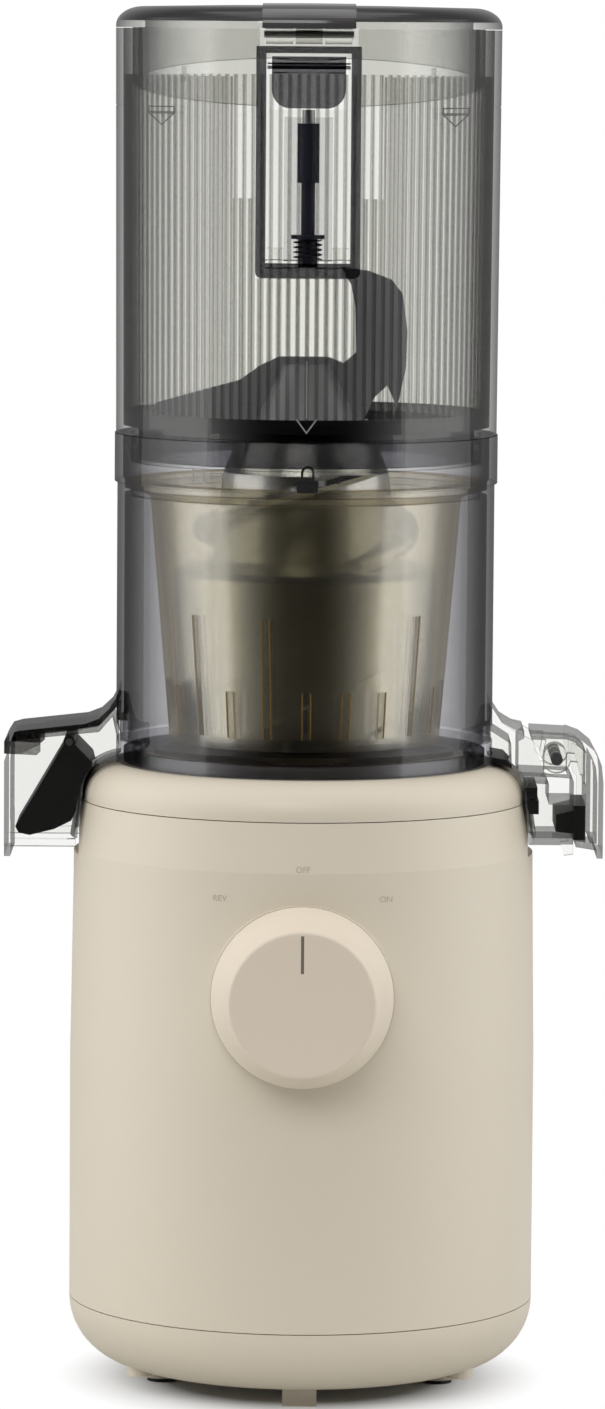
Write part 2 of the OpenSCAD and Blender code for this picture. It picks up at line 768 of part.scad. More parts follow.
// The cover wraps over the spout's roof and hangs down a little on each side
module pulp_cover() {
    skirt_w = spout_w + 1;
    color([0.22, 0.22, 0.23]) difference() {
        union() {
            slab([[spout_root, roof_z + 12.4], [-chamber_r - 1.6, roof_z + 7], [-chamber_r - 5.2, roof_z + 3.6], [-base_r + 5, roof_z + 1.9], [-base_r - 3, roof_z + 1.0],
                  [-reach + 4.7, roof_z - 0.5], [-reach + 1.6, roof_z - 1.4], [-reach, roof_z - 4], [-reach, roof_z - 8],
                  [-reach + 1.8, roof_z - 8], [-reach + 2.8, roof_z - 2.2], [-base_r, roof_z - 0.2], [-chamber_r - 5.1, roof_z + 1.4],
                  [spout_root, roof_z + 8.4]], skirt_w);
            slab([[-reach, roof_z - 5], [-reach, roof_z - 8], [-reach + 10.6, roof_z - 8.4], [-reach + 11.8, roof_z - 7.2],
                  [-reach + 11.8, roof_z - 1], [-reach + 3, roof_z - 1.6]], skirt_w);
        }
        disc(chamber_r, base_h - 50, 150);
        slab([[spout_root, roof_z + 8], [-chamber_r - 5.1, roof_z + 1.0], [-base_r, roof_z - 0.6], [-reach + 2.6, roof_z - 2.6],
              [-reach, roof_z - 10.5], [-reach + 40, roof_z - 40]], spout_w);
    }
}

// Underside of the pulp spout's roof, at a distance from the drive axis
function duct_roof(x) = roof_z - 1 - 3 * (x - chamber_r - 5.1) / (reach - chamber_r - 7.3);

flap_x = -base_r - 0.2;
flap_z = duct_roof(-flap_x) - 2.279;   // the flap's barrel hangs just under the roof
flap_rod_r = 1.2;
flap_rod_len = 2 * duct_y + 1;
flap_w = 2 * duct_y - 0.8;
module pulp_flap() {
    color([0.05, 0.05, 0.06]) difference() {
        union() {
            slab([[flap_x - 1.8, flap_z - 1], [-reach + 3.6, mouth_z + 4.6], [-reach + 4.6, mouth_z + 2.6], [-reach + 8.2, mouth_z + 1.8], [-base_r - 5, mouth_z + 3.8],
                  [-base_r + 0.6, mouth_z + 6.6], [-base_r + 2.1, mouth_z + 10], [-base_r + 2.4, upper_seam + 1.5], [-base_r + 5, base_h - 6], [-base_r + 7.4, base_h - 1.6],
                  [-base_r + 6.6, base_h + 1.4], [flap_x + 2, flap_z - 1]], flap_w);
            cross_rod(flap_rod_r + 0.7, flap_w, flap_x, flap_z);
        }
        cross_rod(flap_rod_r + run_gap, flap_w + 2, flap_x, flap_z);
        base_room(2.3);
    }
}

module flap_rod() {
    color("silver") cross_rod(flap_rod_r, flap_rod_len, flap_x, flap_z);
}

// ---- Juice side (right) ------------------------------------------------------

hinge_x = base_r + 6.1;
hinge_z = base_h + 2.6;
mouth_x = reach - 9.6;
duct_top = base_h - 12;
tail_x = base_r - 2.2;
pocket_x = base_r - 6.4;

module juice_spout() {
    cheek = [[-spout_root, roof_z + 9], [chamber_r + 2.6, roof_z + 3.2], [base_r - 8, roof_z + 0.6], [base_r - 1.7, roof_z - 2.6], [base_r - 0.1, roof_z - 7.4],
             [base_r + 1.8, roof_z - 12.9], [base_r + 5.1, roof_z - 14.2], [mouth_x - 1, roof_z - 14.9], [mouth_x, roof_z - 16],
             [mouth_x, mouth_z - 3], [mouth_x - 3, mouth_z - 3.4], [mouth_x - 4, mouth_z], [-spout_root, mouth_z]];
    core = [[-spout_root, roof_z + 9], [chamber_r + 2.6, roof_z + 3.2], [base_r - 8, roof_z + 0.9], [base_r - 4.6, roof_z + 0.2], [base_r - 4.6, roof_z - 2],
            [pocket_x, roof_z - 3], [pocket_x, roof_z - 14.2], [mouth_x - 1, roof_z - 14.9], [mouth_x, roof_z - 16],
            [mouth_x, mouth_z], [-spout_root, mouth_z]];
    hollow = [[-spout_root - 4, roof_z + 3], [pocket_x - 2.4, roof_z - 4], [pocket_x - 2, roof_z - 16.4],
              [mouth_x - 8, roof_z - 17], [mouth_x - 8, duct_top], [mouth_x + 1, duct_top], [mouth_x + 1, mouth_z + 2],
              [-spout_root - 4, mouth_z + 2]];
    color(smoke) difference() {
        union() {
            difference() {
                slab(cheek, spout_w);
                slab([[50, roof_z + 20], [reach + 20, roof_z + 20], [reach + 20, mouth_z - 20], [50, mouth_z - 20]], 2 * duct_y);
            }
            difference() {
                slab(core, 2 * duct_y + 0.4);
                difference() {
                    slab(hollow, 2 * duct_y - 0.2);
                    base_room(1.9);
                }
            }
            intersection() {
                union() {
                    cross_rod(3.7, 12, hinge_x, hinge_z);
                    block([hinge_x - 3.7, -6, hinge_z - 8], [7.4, 12, 8]);
                }
                block([base_r - 6, -30, roof_z - 15.6], [30, 60, 30]);
            }
        }
        cross_rod(cap_pin_r - 0.01, 40, hinge_x, hinge_z);
        base_room(1);
        disc(chamber_r, base_h - 50, 150);
    }
}

module spout_gaskets() {
    w = 2 * duct_y - 2;
    color([0.06, 0.06, 0.07]) difference() {
        union() {
            slab([[base_r - 10, base_h - 10], [base_r - 0.1, base_h - 10], [base_r - 0.1, base_h - 6.6], [base_r - 10, base_h - 6.6]], w);
            slab([[base_r - 10, base_h - 15.3], [base_r + 0.4, base_h - 15.3], [base_r + 0.4, base_h - 10.8], [base_r - 10, base_h - 10.8]], w);
            slab([[chamber_r - 0.4, base_h + 3.2], [base_r - 10.5, base_h + 2.4], [base_r - 8.6, base_h + 0.4], [base_r - 8.6, base_h - 4.9], [base_r - 7, base_h - 5.1], [base_r - 7, base_h - 6.6],
                  [chamber_r - 0.4, base_h - 6.6]], w);
        }
        base_room(2.05);
        disc(chamber_r + 0.3, base_h - 50, 150);
    }
}

module cap_pin() {
    color("silver") cross_rod(cap_pin_r - 0.02, 32, hinge_x, hinge_z);
}

tail_w = 2 * duct_y - 1.2;
inner_x = reach - 4.2;
cap_lip_z = base_h - 29.3;
module juice_cap() {
    skin = [[tail_x, roof_z - 2.6], [tail_x, roof_z - 0.5], [reach - 11.2, roof_z - 1.1], [reach - 7, roof_z - 2.6], [reach - 3.2, roof_z - 5.7],
            [reach - 0.6, roof_z - 10.6], [reach, roof_z - 16.4], [reach, cap_lip_z], [reach - spout_wall, cap_lip_z],
            [reach - spout_wall, roof_z - 16.6], [reach - 2.4, roof_z - 11.4], [reach - 4.8, roof_z - 7.2], [reach - 8.2, roof_z - 4.4], [reach - 11.6, roof_z - 3]];
    outer = [[reach - 11.6, roof_z - 1.1], [reach - 7, roof_z - 2.6], [reach - 3.2, roof_z - 5.7], [reach - 0.6, roof_z - 10.6], [reach, roof_z - 16.4],
             [reach, mouth_z - 2], [mouth_x + 0.8, mouth_z - 0.6], [mouth_x + 0.8, hinge_z - 5], [reach - 11.6, hinge_z - 1]];
    web = [[tail_x + 0.4, roof_z - 1.6], [hinge_x - 7.2, hinge_z + 2.9], [hinge_x - 4.4, hinge_z], [hinge_x, hinge_z - 3.4],
           [reach - 11.2, hinge_z - 3.4], [reach - 10.2, roof_z - 2]];
    color(smoke) difference() {
        union() {
            intersection() {
                slab(skin, spout_w);
                union() {
                    block([chamber_r, -tail_w / 2, base_h - 50], [reach - 11.6 - chamber_r, tail_w, 80]);
                    block([reach - 11.6, -spout_w / 2, base_h - 50], [40, spout_w, 80]);
                }
            }
            difference() {
                slab(outer, spout_w);
                slab(outer, 2 * duct_y);
            }
            difference() {
                slab(web, tail_w);
                slab(web, tail_w - 3);
            }
            slab([[inner_x - 1.4, mouth_z - 0.9], [inner_x, mouth_z - 1], [inner_x, roof_z - 7], [inner_x - 1.4, roof_z - 6]], 2 * duct_y + 0.4);
            slab([[mouth_x + 0.8, mouth_z - 0.6], [reach - 1, mouth_z - 2], [reach - 1, mouth_z], [mouth_x + 0.8, mouth_z + 1.2]], 2 * duct_y + 0.4);
            for (s = [-1, 1]) translate([0, s * (tail_w / 2 - 3.5), 0]) {
                cross_rod(4.6, 5, hinge_x, hinge_z);
                slab([[hinge_x - 4.6, hinge_z], [hinge_x - 3.4, roof_z - 2.2], [reach - 10.2, roof_z - 3], [inner_x, roof_z - 8],
                      [inner_x, hinge_z - 8], [inner_x - 2.2, hinge_z - 8], [inner_x - 4, hinge_z - 1]], 5);
            }
        }
        cross_rod(cap_pin_r + run_gap, 60, hinge_x, hinge_z);
    }
}

module cap_stopper() {
    plug_w = 2 * duct_y - 3;
    color([0.10, 0.10, 0.11]) {
        slab([[mouth_x + 0.05, mouth_z + 1.4], [inner_x - 1.5, mouth_z + 1.4], [inner_x - 1.5, duct_top - 0.4], [mouth_x + 0.05, duct_top - 0.4]], plug_w + 1.6);
        slab([[mouth_x - 5.6, mouth_z + 4], [mouth_x + 0.05, mouth_z + 3.4], [mouth_x + 0.05, duct_top - 2], [mouth_x - 5.6, duct_top - 3.4]], plug_w);
    }
}

// ---- Screw ------------------------------------------------------------------

auger_z = strainer_z + 3.4;
auger_shoulder = chamber_top - 43.8;
auger_top = hopper_z + 1.2;
flight_r0 = strainer_foot_r - strainer_wall - flight_gap;
core_gap = 1.9;
socket_r = 9.5;
socket_top = shaft_top + 3;

module auger() {
    body_top_r = strainer_r(auger_shoulder) - strainer_wall - 4.4;
    color([0.80, 0.79, 0.72]) difference() {
        union() {
            rotate_extrude() polygon([
                [0, auger_z], [flight_r0 - core_gap, auger_z], [body_top_r, auger_shoulder - 2], [body_top_r - 2, auger_shoulder],
                [30, auger_shoulder + 3], [27, auger_top - 14], [22, auger_top - 3], [22, auger_top], [0, auger_top]]);
            translate([0, 0, auger_z]) linear_extrude(height = auger_shoulder - 3 - auger_z, twist = -150, slices = 18, $fn = 6)
                for (i = [0 : 5]) rotate(i * 60) polygon([at(20, -2.2), at(flight_r0, -1.3), at(flight_r0, 1.3), at(20, 2.2)]);
            translate([0, 0, auger_shoulder - 1]) linear_extrude(height = auger_top - 12 - auger_shoulder, twist = -200, slices = 20, $fn = 6)
                for (i = [0 : 1]) rotate(100 + i * 180) polygon([at(14, -24), at(36.5, -11), at(37.2, 0), at(36.5, 11), at(14, 24)]);
        }
        disc(socket_r, auger_z - cut, socket_top - auger_z + 2);
        disc(sleeve_out + 0.6, auger_z - cut, sleeve_top + 1.2 - auger_z);
    }
}

module auger_socket() {
    color([0.66, 0.67, 0.69]) difference() {
        disc(socket_r - 0.02, sleeve_top + 1.6, socket_top - sleeve_top - 0.3);
        translate([0, 0, sleeve_top]) cylinder(r = (hex_af / 2 + 0.25) / cos(30), h = shaft_top + 1 - sleeve_top, $fn = 6);
    }
}

wing_z = auger_top;
wing_t = 5;
module cutting_wing() {
    z = wing_z;
    color([0.20, 0.20, 0.22]) {
        disc(20, z, 3);
        slab([[-50.2, z + 5.4], [-48.8, z + 8.2], [-36, z + 11.8], [-22, z + 15.6], [-15, z + 20.6], [-9, z + 23.4], [7, z + 23.4], [12, z + 21.4],
              [16, z + 25], [15.6, z + 40], [14.2, z + 47], [10.8, z + 52.6], [20, z + 51.4], [27.4, z + 48.6], [31, z + 44], [32.6, z + 32],
              [32.2, z + 20], [29.4, z + 7], [26.2, z + 14.4], [22, z + 10.4], [18, z + 2], [-20, z + 2], [-48.6, z + 3]], wing_t);
        translate([0, 0, z + 2]) cylinder(r1 = 17, r2 = 8, h = 19);
    }
}

// ---- Hopper -----------------------------------------------------------------

slot_z = hopper_top - slot_h;
lid_hinge_y = hopper_rim_r + 4.3;
lid_hinge_z = hopper_top - 1.4;
lid_pin_r = 1.6;
knuckle_r = 3.6;
knuckle_w = 9;

module hopper_wall_body(g_out, g_in, z0, z1) {
    taper = (hopper_rim_r - hopper_foot_r) / hopper_h;
    function outer(z) = hopper_foot_r + taper * (z - hopper_z);
    rotate_extrude() polygon([
        [outer(z0) - hopper_wall + g_in, z0], [outer(z0) + g_out, z0],
        [outer(z1) + g_out, z1], [outer(z1) - hopper_wall + g_in, z1]]);
}

module hopper() {
    color(smoke) difference() {
        union() {
            hopper_wall_body(0, 0, hopper_z, hopper_top);
            ring(hopper_foot_r - 0.5, spigot_r - 3, hopper_z, 2.4);
            ring(spigot_r - 0.5, spigot_r - 3, hopper_z - 9.4, 10);
            bayonet(collar_in - 0.6, spigot_r - 1.5, ramp_z - 2.3, 1.9, 19, 22);
            for (s = [-1, 1]) translate([s * (knuckle_w + 0.8) - knuckle_w / 2, 0, 0]) {
                translate([0, lid_hinge_y, lid_hinge_z]) rotate([0, 90, 0]) cylinder(r = knuckle_r, h = knuckle_w);
                block([0, hopper_rim_r - 2.2, lid_hinge_z - 7], [knuckle_w, 4, 6.8]);
            }
            both_sides() intersection() {
                ring(rim_in + 0.6, rim_in - 2.4, slot_z + 22, 28);
                block([slot_w / 2 + 3, -80, slot_z], [3.2, 60, 80]);
            }
            both_sides() intersection() {
                hopper_wall_body(-1, -1.6, hopper_z + 12, slot_z + 22.4);
                block([slot_w / 2 + 2.4, -80, hopper_z], [6.2, 60, 140]);
            }
        }
        ring(hopper_rim_r + 1, hopper_rim_r - 0.35, hopper_top - 25, 0.4);
        block([-slot_w / 2, -80, slot_z], [slot_w, 60, slot_h + 10]);
        translate([-30, lid_hinge_y, lid_hinge_z]) rotate([0, 90, 0]) cylinder(r = lid_pin_r - 0.01, h = 60);
    }
}

funnel_in = 47;
module hopper_funnel() {
    tube_r = spigot_r - 3.3;
    color([0.16, 0.16, 0.17]) rotate_extrude() polygon([
        [funnel_in + 3, hopper_z - 8.6], [tube_r, hopper_z - 8.6], [tube_r, hopper_z + 2.6], [hopper_in - 0.4, hopper_z + 2.6],
        [hopper_in - 0.4, hopper_z + 7.2], [hopper_in - 2, hopper_z + 7.2], [funnel_in + 3, hopper_z + 4.8]]);
}

module lid_hinge_pin() {
    len = 3 * knuckle_w + 3;
    color("silver") translate([-len / 2, lid_hinge_y, lid_hinge_z]) rotate([0, 90, 0]) cylinder(r = lid_pin_r - 0.02, h = len);
}

// ---- Lid --------------------------------------------------------------------

tongue_z = slot_z - 1;
frame_w = slot_w + 4.8;

// Outline of the domed lid from its lower plane up, grown by g
module lid_side(g) {
    mid_r = hopper_rim_r - lid_edge_w;
    mid_z = lid_z + lid_h - lid_dome - lid_edge_r;
    steps = 12;
    polygon(concat(
        [[0, lid_z], [hopper_rim_r + g, lid_z]],
        [for (i = [0 : steps]) let (a = i * 90 / steps)
            [mid_r + (lid_edge_w + g) * cos(a), mid_z + (lid_edge_r + g) * sin(a)]],
        [[mid_r / 2, lid_z + lid_h - lid_dome / 4 + g], [0, lid_top + g]]));
}

skirt_tilt = 7.6;                      // the skirt reaches further down at the front
module lid() {
    color([0.33, 0.32, 0.32]) difference() {
        union() {
            difference() {
                rotate_extrude() lid_side(0);
                disc(hopper_rim_r - lid_edge_w - 0.4, lid_z - cut, lid_h - lid_dome - 2 + cut);
            }
            difference() {
                ring(skirt_r, skirt_r - 1.8, lid_z - 30, 31);
                translate([0, 0, lid_z - 17.2]) rotate([skirt_tilt, 0, 0]) translate([-100, -100, -60]) cube([200, 200, 60]);
                block([-slot_w / 2 - 1.4, -90, lid_z - 40], [slot_w + 2.8, 60, 40]);
            }
            both_sides() intersection() {
                ring(skirt_r - 1.6, skirt_r - 3, lid_z - 17.6, 5);
                block([40.4, 0, lid_z - 20], [1.5, 80, 20]);
            }
            translate([-knuckle_w / 2, lid_hinge_y, lid_hinge_z]) rotate([0, 90, 0]) cylinder(r = knuckle_r, h = knuckle_w);
            block([-knuckle_w / 2, hopper_rim_r - 4, lid_z + 0.3], [knuckle_w, 6.4, 2.7]);
        }
        translate([-30, lid_hinge_y, lid_hinge_z]) rotate([0, 90, 0]) cylinder(r = lid_pin_r + run_gap, h = 60);
    }
}

module lid_strip() {
    y1 = hopper_rim_r - 6;
    color([0.28, 0.27, 0.27]) difference() {
        intersection() {
            rotate_extrude() lid_side(strip_rise);
            block([-strip_w / 2, -90, lid_z - 1], [strip_w, 90 + y1, 40]);
        }
        rotate_extrude() intersection() {
            lid_side(0);
            square([100, 1000]);
        }
        disc(hopper_rim_r, lid_z - 1, 1.4);
    }
}

panel_w = slot_w - 1.2;
tab_w = 23.4;
tab_z = hopper_top - 24.9;
tab_h = 16.3;
channel_in = rod_r + 3.3;
rod_y = -(rim_in - 6.1);
rod_z = slot_z + 3.7;
rod_top = tab_z - 4.8;
lug_x = channel_in + 3.9;

module tongue_panel() {
    color(smoke) difference() {
        union() {
            front_patch(panel_w, slot_z + 0.6, lid_z + 1) hopper_wall_body(0, 0.2, slot_z, lid_z);
            front_patch(panel_w, slot_z + 0.6, slot_z + 3) ring(rim_in + 1, rim_in - 13.8, slot_z, 4);
            for (s = [-1, 1]) block([s * lug_x - 2.6, -rim_in + 1, slot_z + 2], [5.2, 6, 5]);
            front_patch(panel_w, lid_z - 4.4, lid_z) ring(rim_in + 1, skirt_r - 3, lid_z - 6, 6);
        }
        block([-tab_w / 2 - 0.5, -80, tab_z - 0.6], [tab_w + 1, 30, tab_h + 1.6]);
        for (s = [-1, 1]) block([s * lug_x - 1.6, -rim_in + 2, slot_z + 3.4], [3.2, 4, 5]);
        tab_rod(1.01, tab_pin_len + 0.02);
        translate([0, rod_y, slot_z - 5]) cylinder(r = rod_r + run_gap, h = 12);
    }
}

frame_top = hopper_top - 5.4;
module tongue_frame() {
    bar = (frame_w - panel_w) / 2 + 0.2;
    corner = 2;
    color([0.06, 0.06, 0.06]) difference() {
        intersection() {
            hopper_wall_body(1.5, hopper_wall + 0.12, tongue_z - 4, hopper_top);
            rotate([90, 0, 0]) linear_extrude(height = 90) {
                translate([-frame_w / 2, tongue_z - 1.4 + corner]) square([frame_w, frame_top - tongue_z + 1.4 - corner]);
                for (s = [-1, 1]) translate([s * (frame_w / 2 - corner), tongue_z - 1.4 + corner]) circle(corner);
                translate([-frame_w / 2 + corner, tongue_z - 1.4]) square([frame_w - 2 * corner, 2 * corner]);
            }
        }
        block([-frame_w / 2 + bar, -80, tongue_z + 3.4], [frame_w - 2 * bar, 60, frame_top - 2.2 - tongue_z - 3.4]);
    }
}

module rod_housing() {
    z0 = slot_z + 3;
    color(smoke) difference() {
        union() {
            block([-channel_in - 1.2, rod_y - 1, z0], [2 * channel_in + 2.4, channel_in + 2.2, tab_z - 3 - z0]);
            block([-channel_in - 1.2, -rim_in + 0.9, z0], [1.2, 6, tab_z - 3 - z0]);
            block([channel_in, -rim_in + 0.9, z0], [1.2, 6, tab_z - 3 - z0]);
        }
        block([-channel_in, -80, z0 - cut], [2 * channel_in, 80 + rod_y + channel_in - 0.4, tab_z]);
    }
}

tab_pin_y = -(hopper_rim_r - 3.4);
tab_pin_z = tab_z + tab_h - 3;
tab_pin_len = panel_w - 1;
module tab_rod(r, len) {
    translate([-len / 2, tab_pin_y, tab_pin_z]) rotate([0, 90, 0]) cylinder(r = r, h = len);
}
tab_face = 2.4;

// Front outline of the finger tab, shrunk by g, up to height z1
module tab_outline(g, z1) {
    corner = 6;
    intersection() {
        union() {
            translate([-tab_w / 2 + g, tab_z + corner]) square([tab_w - 2 * g, tab_h]);
            translate([-tab_w / 2 + corner, tab_z + g]) square([tab_w - 2 * corner, 8]);
            for (s = [-1, 1]) translate([s * (tab_w / 2 - corner), tab_z + corner]) circle(corner - g);
        }
        translate([-50, 0]) square([100, z1]);
    }
}

module finger_tab() {
    y0 = -(hopper_rim_r + 1.3);
    w = tab_w;
    color([0.16, 0.16, 0.17]) difference() {
        union() {
            translate([0, y0 + tab_face, 0]) rotate([90, 0, 0]) difference() {
                linear_extrude(height = tab_face) tab_outline(0, tab_z + tab_h);
                translate([0, 0, tab_face - 1.3]) linear_extrude(height = 2) difference() {
                    tab_outline(2, tab_z + tab_h - 3.4);
                    translate([-9.4, tab_z + tab_h - 6.8]) square([18.8, 0.7]);
                }
            }
            block([-6, y0 + 2, tab_z + 5], [12, 3.2, tab_h - 5.2]);
            translate([-w / 2 + 0.2, tab_pin_y, tab_pin_z]) rotate([0, 90, 0]) cylinder(r = 2.4, h = w - 0.4);
            block([-w / 2 + 0.2, y0 + 1, tab_pin_z - 2], [w - 0.4, tab_pin_y - y0 - 1, 4]);
        }
        tab_rod(1 + run_gap, 60);
        translate([0, y0, tab_z + tab_h]) rotate([45, 0, 0]) cube([2 * w, 2.2, 2.2], center = true);
    }
}

module tab_pin() {
    color("silver") tab_rod(1, tab_pin_len);
}

collar_z = rod_z + 6.2;
module interlock_rod() {
    color([0.08, 0.08, 0.09]) translate([0, rod_y, 0]) {
        disc(rod_r - 0.02, rod_z - 2.9, collar_z - rod_z + 3);
        disc(rod_r - 0.9, collar_z, rod_top - collar_z);
        disc(rod_r + 0.4, rod_top - 18.7, 18.7);
        disc(rod_r + 2.2, collar_z, 1.2);
    }
}

module interlock_pin() {
    color("silver") translate([0, rod_y, 0]) disc(2, rod_top, tab_z - 0.5 - rod_top);
}

spring_wire = 0.5;
spring_r = rod_r + 1.2;
spring_turns = 4;
module rod_spring() {
    z0 = slot_z + 3.1 + spring_wire / 2;
    rise = collar_z - 0.1 - spring_wire / 2 - z0;
    steps = 24 * spring_turns;
    sides = 8;
    points = [for (i = [0 : steps]) let (a = 360 * spring_turns * i / steps, z = z0 + rise * i / steps) each
        [for (k = [0 : sides - 1]) let (b = 360 * k / sides, r = spring_r + spring_wire / 2 * cos(b))
            [r * cos(a), r * sin(a), z + spring_wire / 2 * sin(b)]]];
    faces = concat(
        [[for (k = [0 : sides - 1]) k]],
        [[for (k = [sides - 1 : -1 : 0]) steps * sides + k]],
        [for (i = [0 : steps - 1], k = [0 : sides - 1]) let (n = (k + 1) % sides)
            [i * sides + k, (i + 1) * sides + k, (i + 1) * sides + n, i * sides + n]]);
    color("silver") translate([0, rod_y, 0]) polyhedron(points = points, faces = faces, convexity = 8);
}

// ---- Assembly ---------------------------------------------------------------

body_shell();
top_cover();
bottom_cap();
foot_pads();
housing_screws();
cord_inlet();
deck_seal();
control_board();
board_parts();
rotary_switch();
motor_can();
motor_bearings();
motor_screws();
lower_plate();
upper_plate();
plate_spacers();
output_bearings();
idler_bushes();
rotor_core();
rotor_shaft();
cooling_fan();
motor_pinion();
idler_shaft();
idler_wheel();
idler_pinion();
output_gear();
drive_shaft();
knob();
knob_marker();
knob_shaft();
chamber();
chamber_gasket();
shaft_seal();
strainer();
pulp_spout();
pulp_cover();
juice_spout();
spout_gaskets();
cap_pin();
pulp_flap();
flap_rod();
juice_cap();
cap_stopper();
auger();
auger_socket();
cutting_wing();
hopper();
hopper_funnel();
lid_hinge_pin();
lid();
lid_strip();
tongue_panel();
tongue_frame();
rod_housing();
finger_tab();
tab_pin();
interlock_rod();
interlock_pin();
rod_spring();
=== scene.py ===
# %% [markdown]
# # A vertical cold press juicer
# A beige motor base carries a clear juicing chamber, and a clear fluted hopper with a hinged lid stands on the
# chamber. The solid parts come from the engineering model. This lesson gives each of them the finish of the real
# material, and adds the small moulded and printed details that are only skin deep: the flutes in the hopper, with a
# painted shade in their roots, the arrows, the padlock sign and the words round the knob. Some moulded marks are
# coloured as a painted highlight, and the gold lips along the strainer's slits are painted light, the glow of light
# leaving the cut amber. It also makes the interlock rod's spring again, so that it can shorten.

# %% Load the engineering model
import json
import math

import bpy
from mathutils import Matrix, Vector


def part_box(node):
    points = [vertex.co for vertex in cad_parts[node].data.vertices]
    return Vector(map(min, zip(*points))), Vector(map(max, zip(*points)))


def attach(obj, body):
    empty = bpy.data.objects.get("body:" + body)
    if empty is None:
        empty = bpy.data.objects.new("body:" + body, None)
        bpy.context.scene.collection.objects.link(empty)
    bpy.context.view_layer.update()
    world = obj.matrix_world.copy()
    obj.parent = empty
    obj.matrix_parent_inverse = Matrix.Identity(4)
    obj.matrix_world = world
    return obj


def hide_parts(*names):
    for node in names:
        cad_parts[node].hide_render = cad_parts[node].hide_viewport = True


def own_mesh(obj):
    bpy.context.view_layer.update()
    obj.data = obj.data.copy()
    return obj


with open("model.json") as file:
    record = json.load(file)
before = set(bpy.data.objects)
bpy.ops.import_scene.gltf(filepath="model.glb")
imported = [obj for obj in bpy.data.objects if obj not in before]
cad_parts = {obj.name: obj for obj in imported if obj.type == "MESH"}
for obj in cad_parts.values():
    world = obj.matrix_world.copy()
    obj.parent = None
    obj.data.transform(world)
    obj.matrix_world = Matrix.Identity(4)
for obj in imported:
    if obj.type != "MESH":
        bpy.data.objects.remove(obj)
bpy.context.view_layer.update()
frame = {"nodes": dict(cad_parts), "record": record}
nodes = frame["nodes"]

# %% [markdown]
# ## Measurements
# Everything that is added has to sit on something that is already there, so the places are read from the boxes of
# the parts. Lengths are in metres, and `mm` keeps the small sizes readable.

# %% Read the places from the parts
mm = 0.001
hopper_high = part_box("hopper")[1]
funnel_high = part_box("hopper_funnel")[1]
chamber_low, chamber_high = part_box("chamber")
knob_low, knob_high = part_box("knob")
tongue_low, tongue_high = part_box("tongue_frame")
strainer_low, strainer_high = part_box("strainer")
spring_low, spring_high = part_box("rod_spring")

hopper_wall = 2.4 * mm
hopper_flare = 0.8 * mm  # the rim is this much wider than the foot, on the radius
seat_gap = 0.2 * mm  # between the chamber's top and the hopper
hopper_rim_r = hopper_high.x
hopper_foot_r = hopper_rim_r - hopper_flare
hopper_rim_z = hopper_high.z
hopper_foot_z = chamber_high.z + seat_gap
knob_z = (knob_low.z + knob_high.z) / 2
print("hopper rim radius", round(hopper_rim_r / mm, 1), "mm at", round(hopper_rim_z / mm, 1), "mm")

# %% [markdown]
# ## Camera and light
# A long lens from a little over two metres keeps the upright walls almost parallel, which is how a catalogue shows a
# tall appliance. The eye is level with the lid, so the lens looks slightly down.

# %% Camera
eye_x = -0.6 * mm
eye_distance = 2.210
eye_height = 0.4420
look_down = math.radians(5.68)
camera_roll = math.radians(0.42)
lens_mm = 173.7

bpy.ops.object.camera_add(location=(eye_x, -eye_distance, eye_height))
camera = bpy.context.object
camera.name = "camera"
tilt = Matrix.Rotation(math.pi / 2 - look_down, 3, "X")
camera.rotation_euler = (tilt @ Matrix.Rotation(camera_roll, 3, "Z")).to_euler("XYZ")
camera.data.lens = lens_mm
camera.data.sensor_width = 36
camera.data.clip_end = 50
bpy.context.scene.camera = camera
print("camera at", tuple(round(v, 3) for v in camera.location))

# %% [markdown]
# The light is a white sweep with two tall soft boxes, one on each side. They draw the long upright highlights on the
# clear plastic. A wide box in front and one above keep the beige shell even.

# %% Lamps
def soft_box(name, place, width, height, power, aim=(0, 0, 0.22)):
    direction = Vector(aim) - Vector(place)
    bpy.ops.object.light_add(type="AREA", location=place, rotation=direction.to_track_quat("-Z", "Y").to_euler())
    lamp = bpy.context.object
    lamp.name = name
    lamp.data.shape = "RECTANGLE"
    lamp.data.size = width
    lamp.data.size_y = height
    lamp.data.energy = power


soft_box("left soft box", (-1.4, -0.05, 0.5), width=1.5, height=1.9, power=9)
soft_box("right soft box", (1.4, -0.05, 0.5), width=1.5, height=1.9, power=9.5)
soft_box("front soft box", (-0.35, -1.8, 1.5), width=1.4, height=0.9, power=19)
soft_box("top soft box", (0.0, 0.1, 1.7), width=1.2, height=1.2, power=7)

# %% [markdown]
# ## How the finishes are built
# One function turns a colour picked as sRGB hex into the linear numbers that the shaders want. One more adds a node
# with its settings and links. Everything else says what each finish is made of.

# %% Material helpers
def linear(hex_colour):
    channels = [int(hex_colour[i:i + 2], 16) / 255 for i in (1, 3, 5)]
    return tuple(c / 12.92 if c <= 0.04045 else ((c + 0.055) / 1.055) ** 2.4 for c in channels) + (1.0,)


def new_material(name):
    material = bpy.data.materials.new(name)
    material.use_nodes = True
    material.node_tree.nodes.clear()
    return material


def add_node(material, kind, settings=None, values=None, links=None):
    node = material.node_tree.nodes.new(kind)
    for key, value in (settings or {}).items():
        setattr(node, key, value)
    for key, value in (values or {}).items():
        node.inputs[key].default_value = value
    for key, source in (links or {}).items():
        material.node_tree.links.new(source, node.inputs[key])
    return node


def surface(material, shader):
    add_node(material, "ShaderNodeOutputMaterial", links={"Surface": shader})
    return material


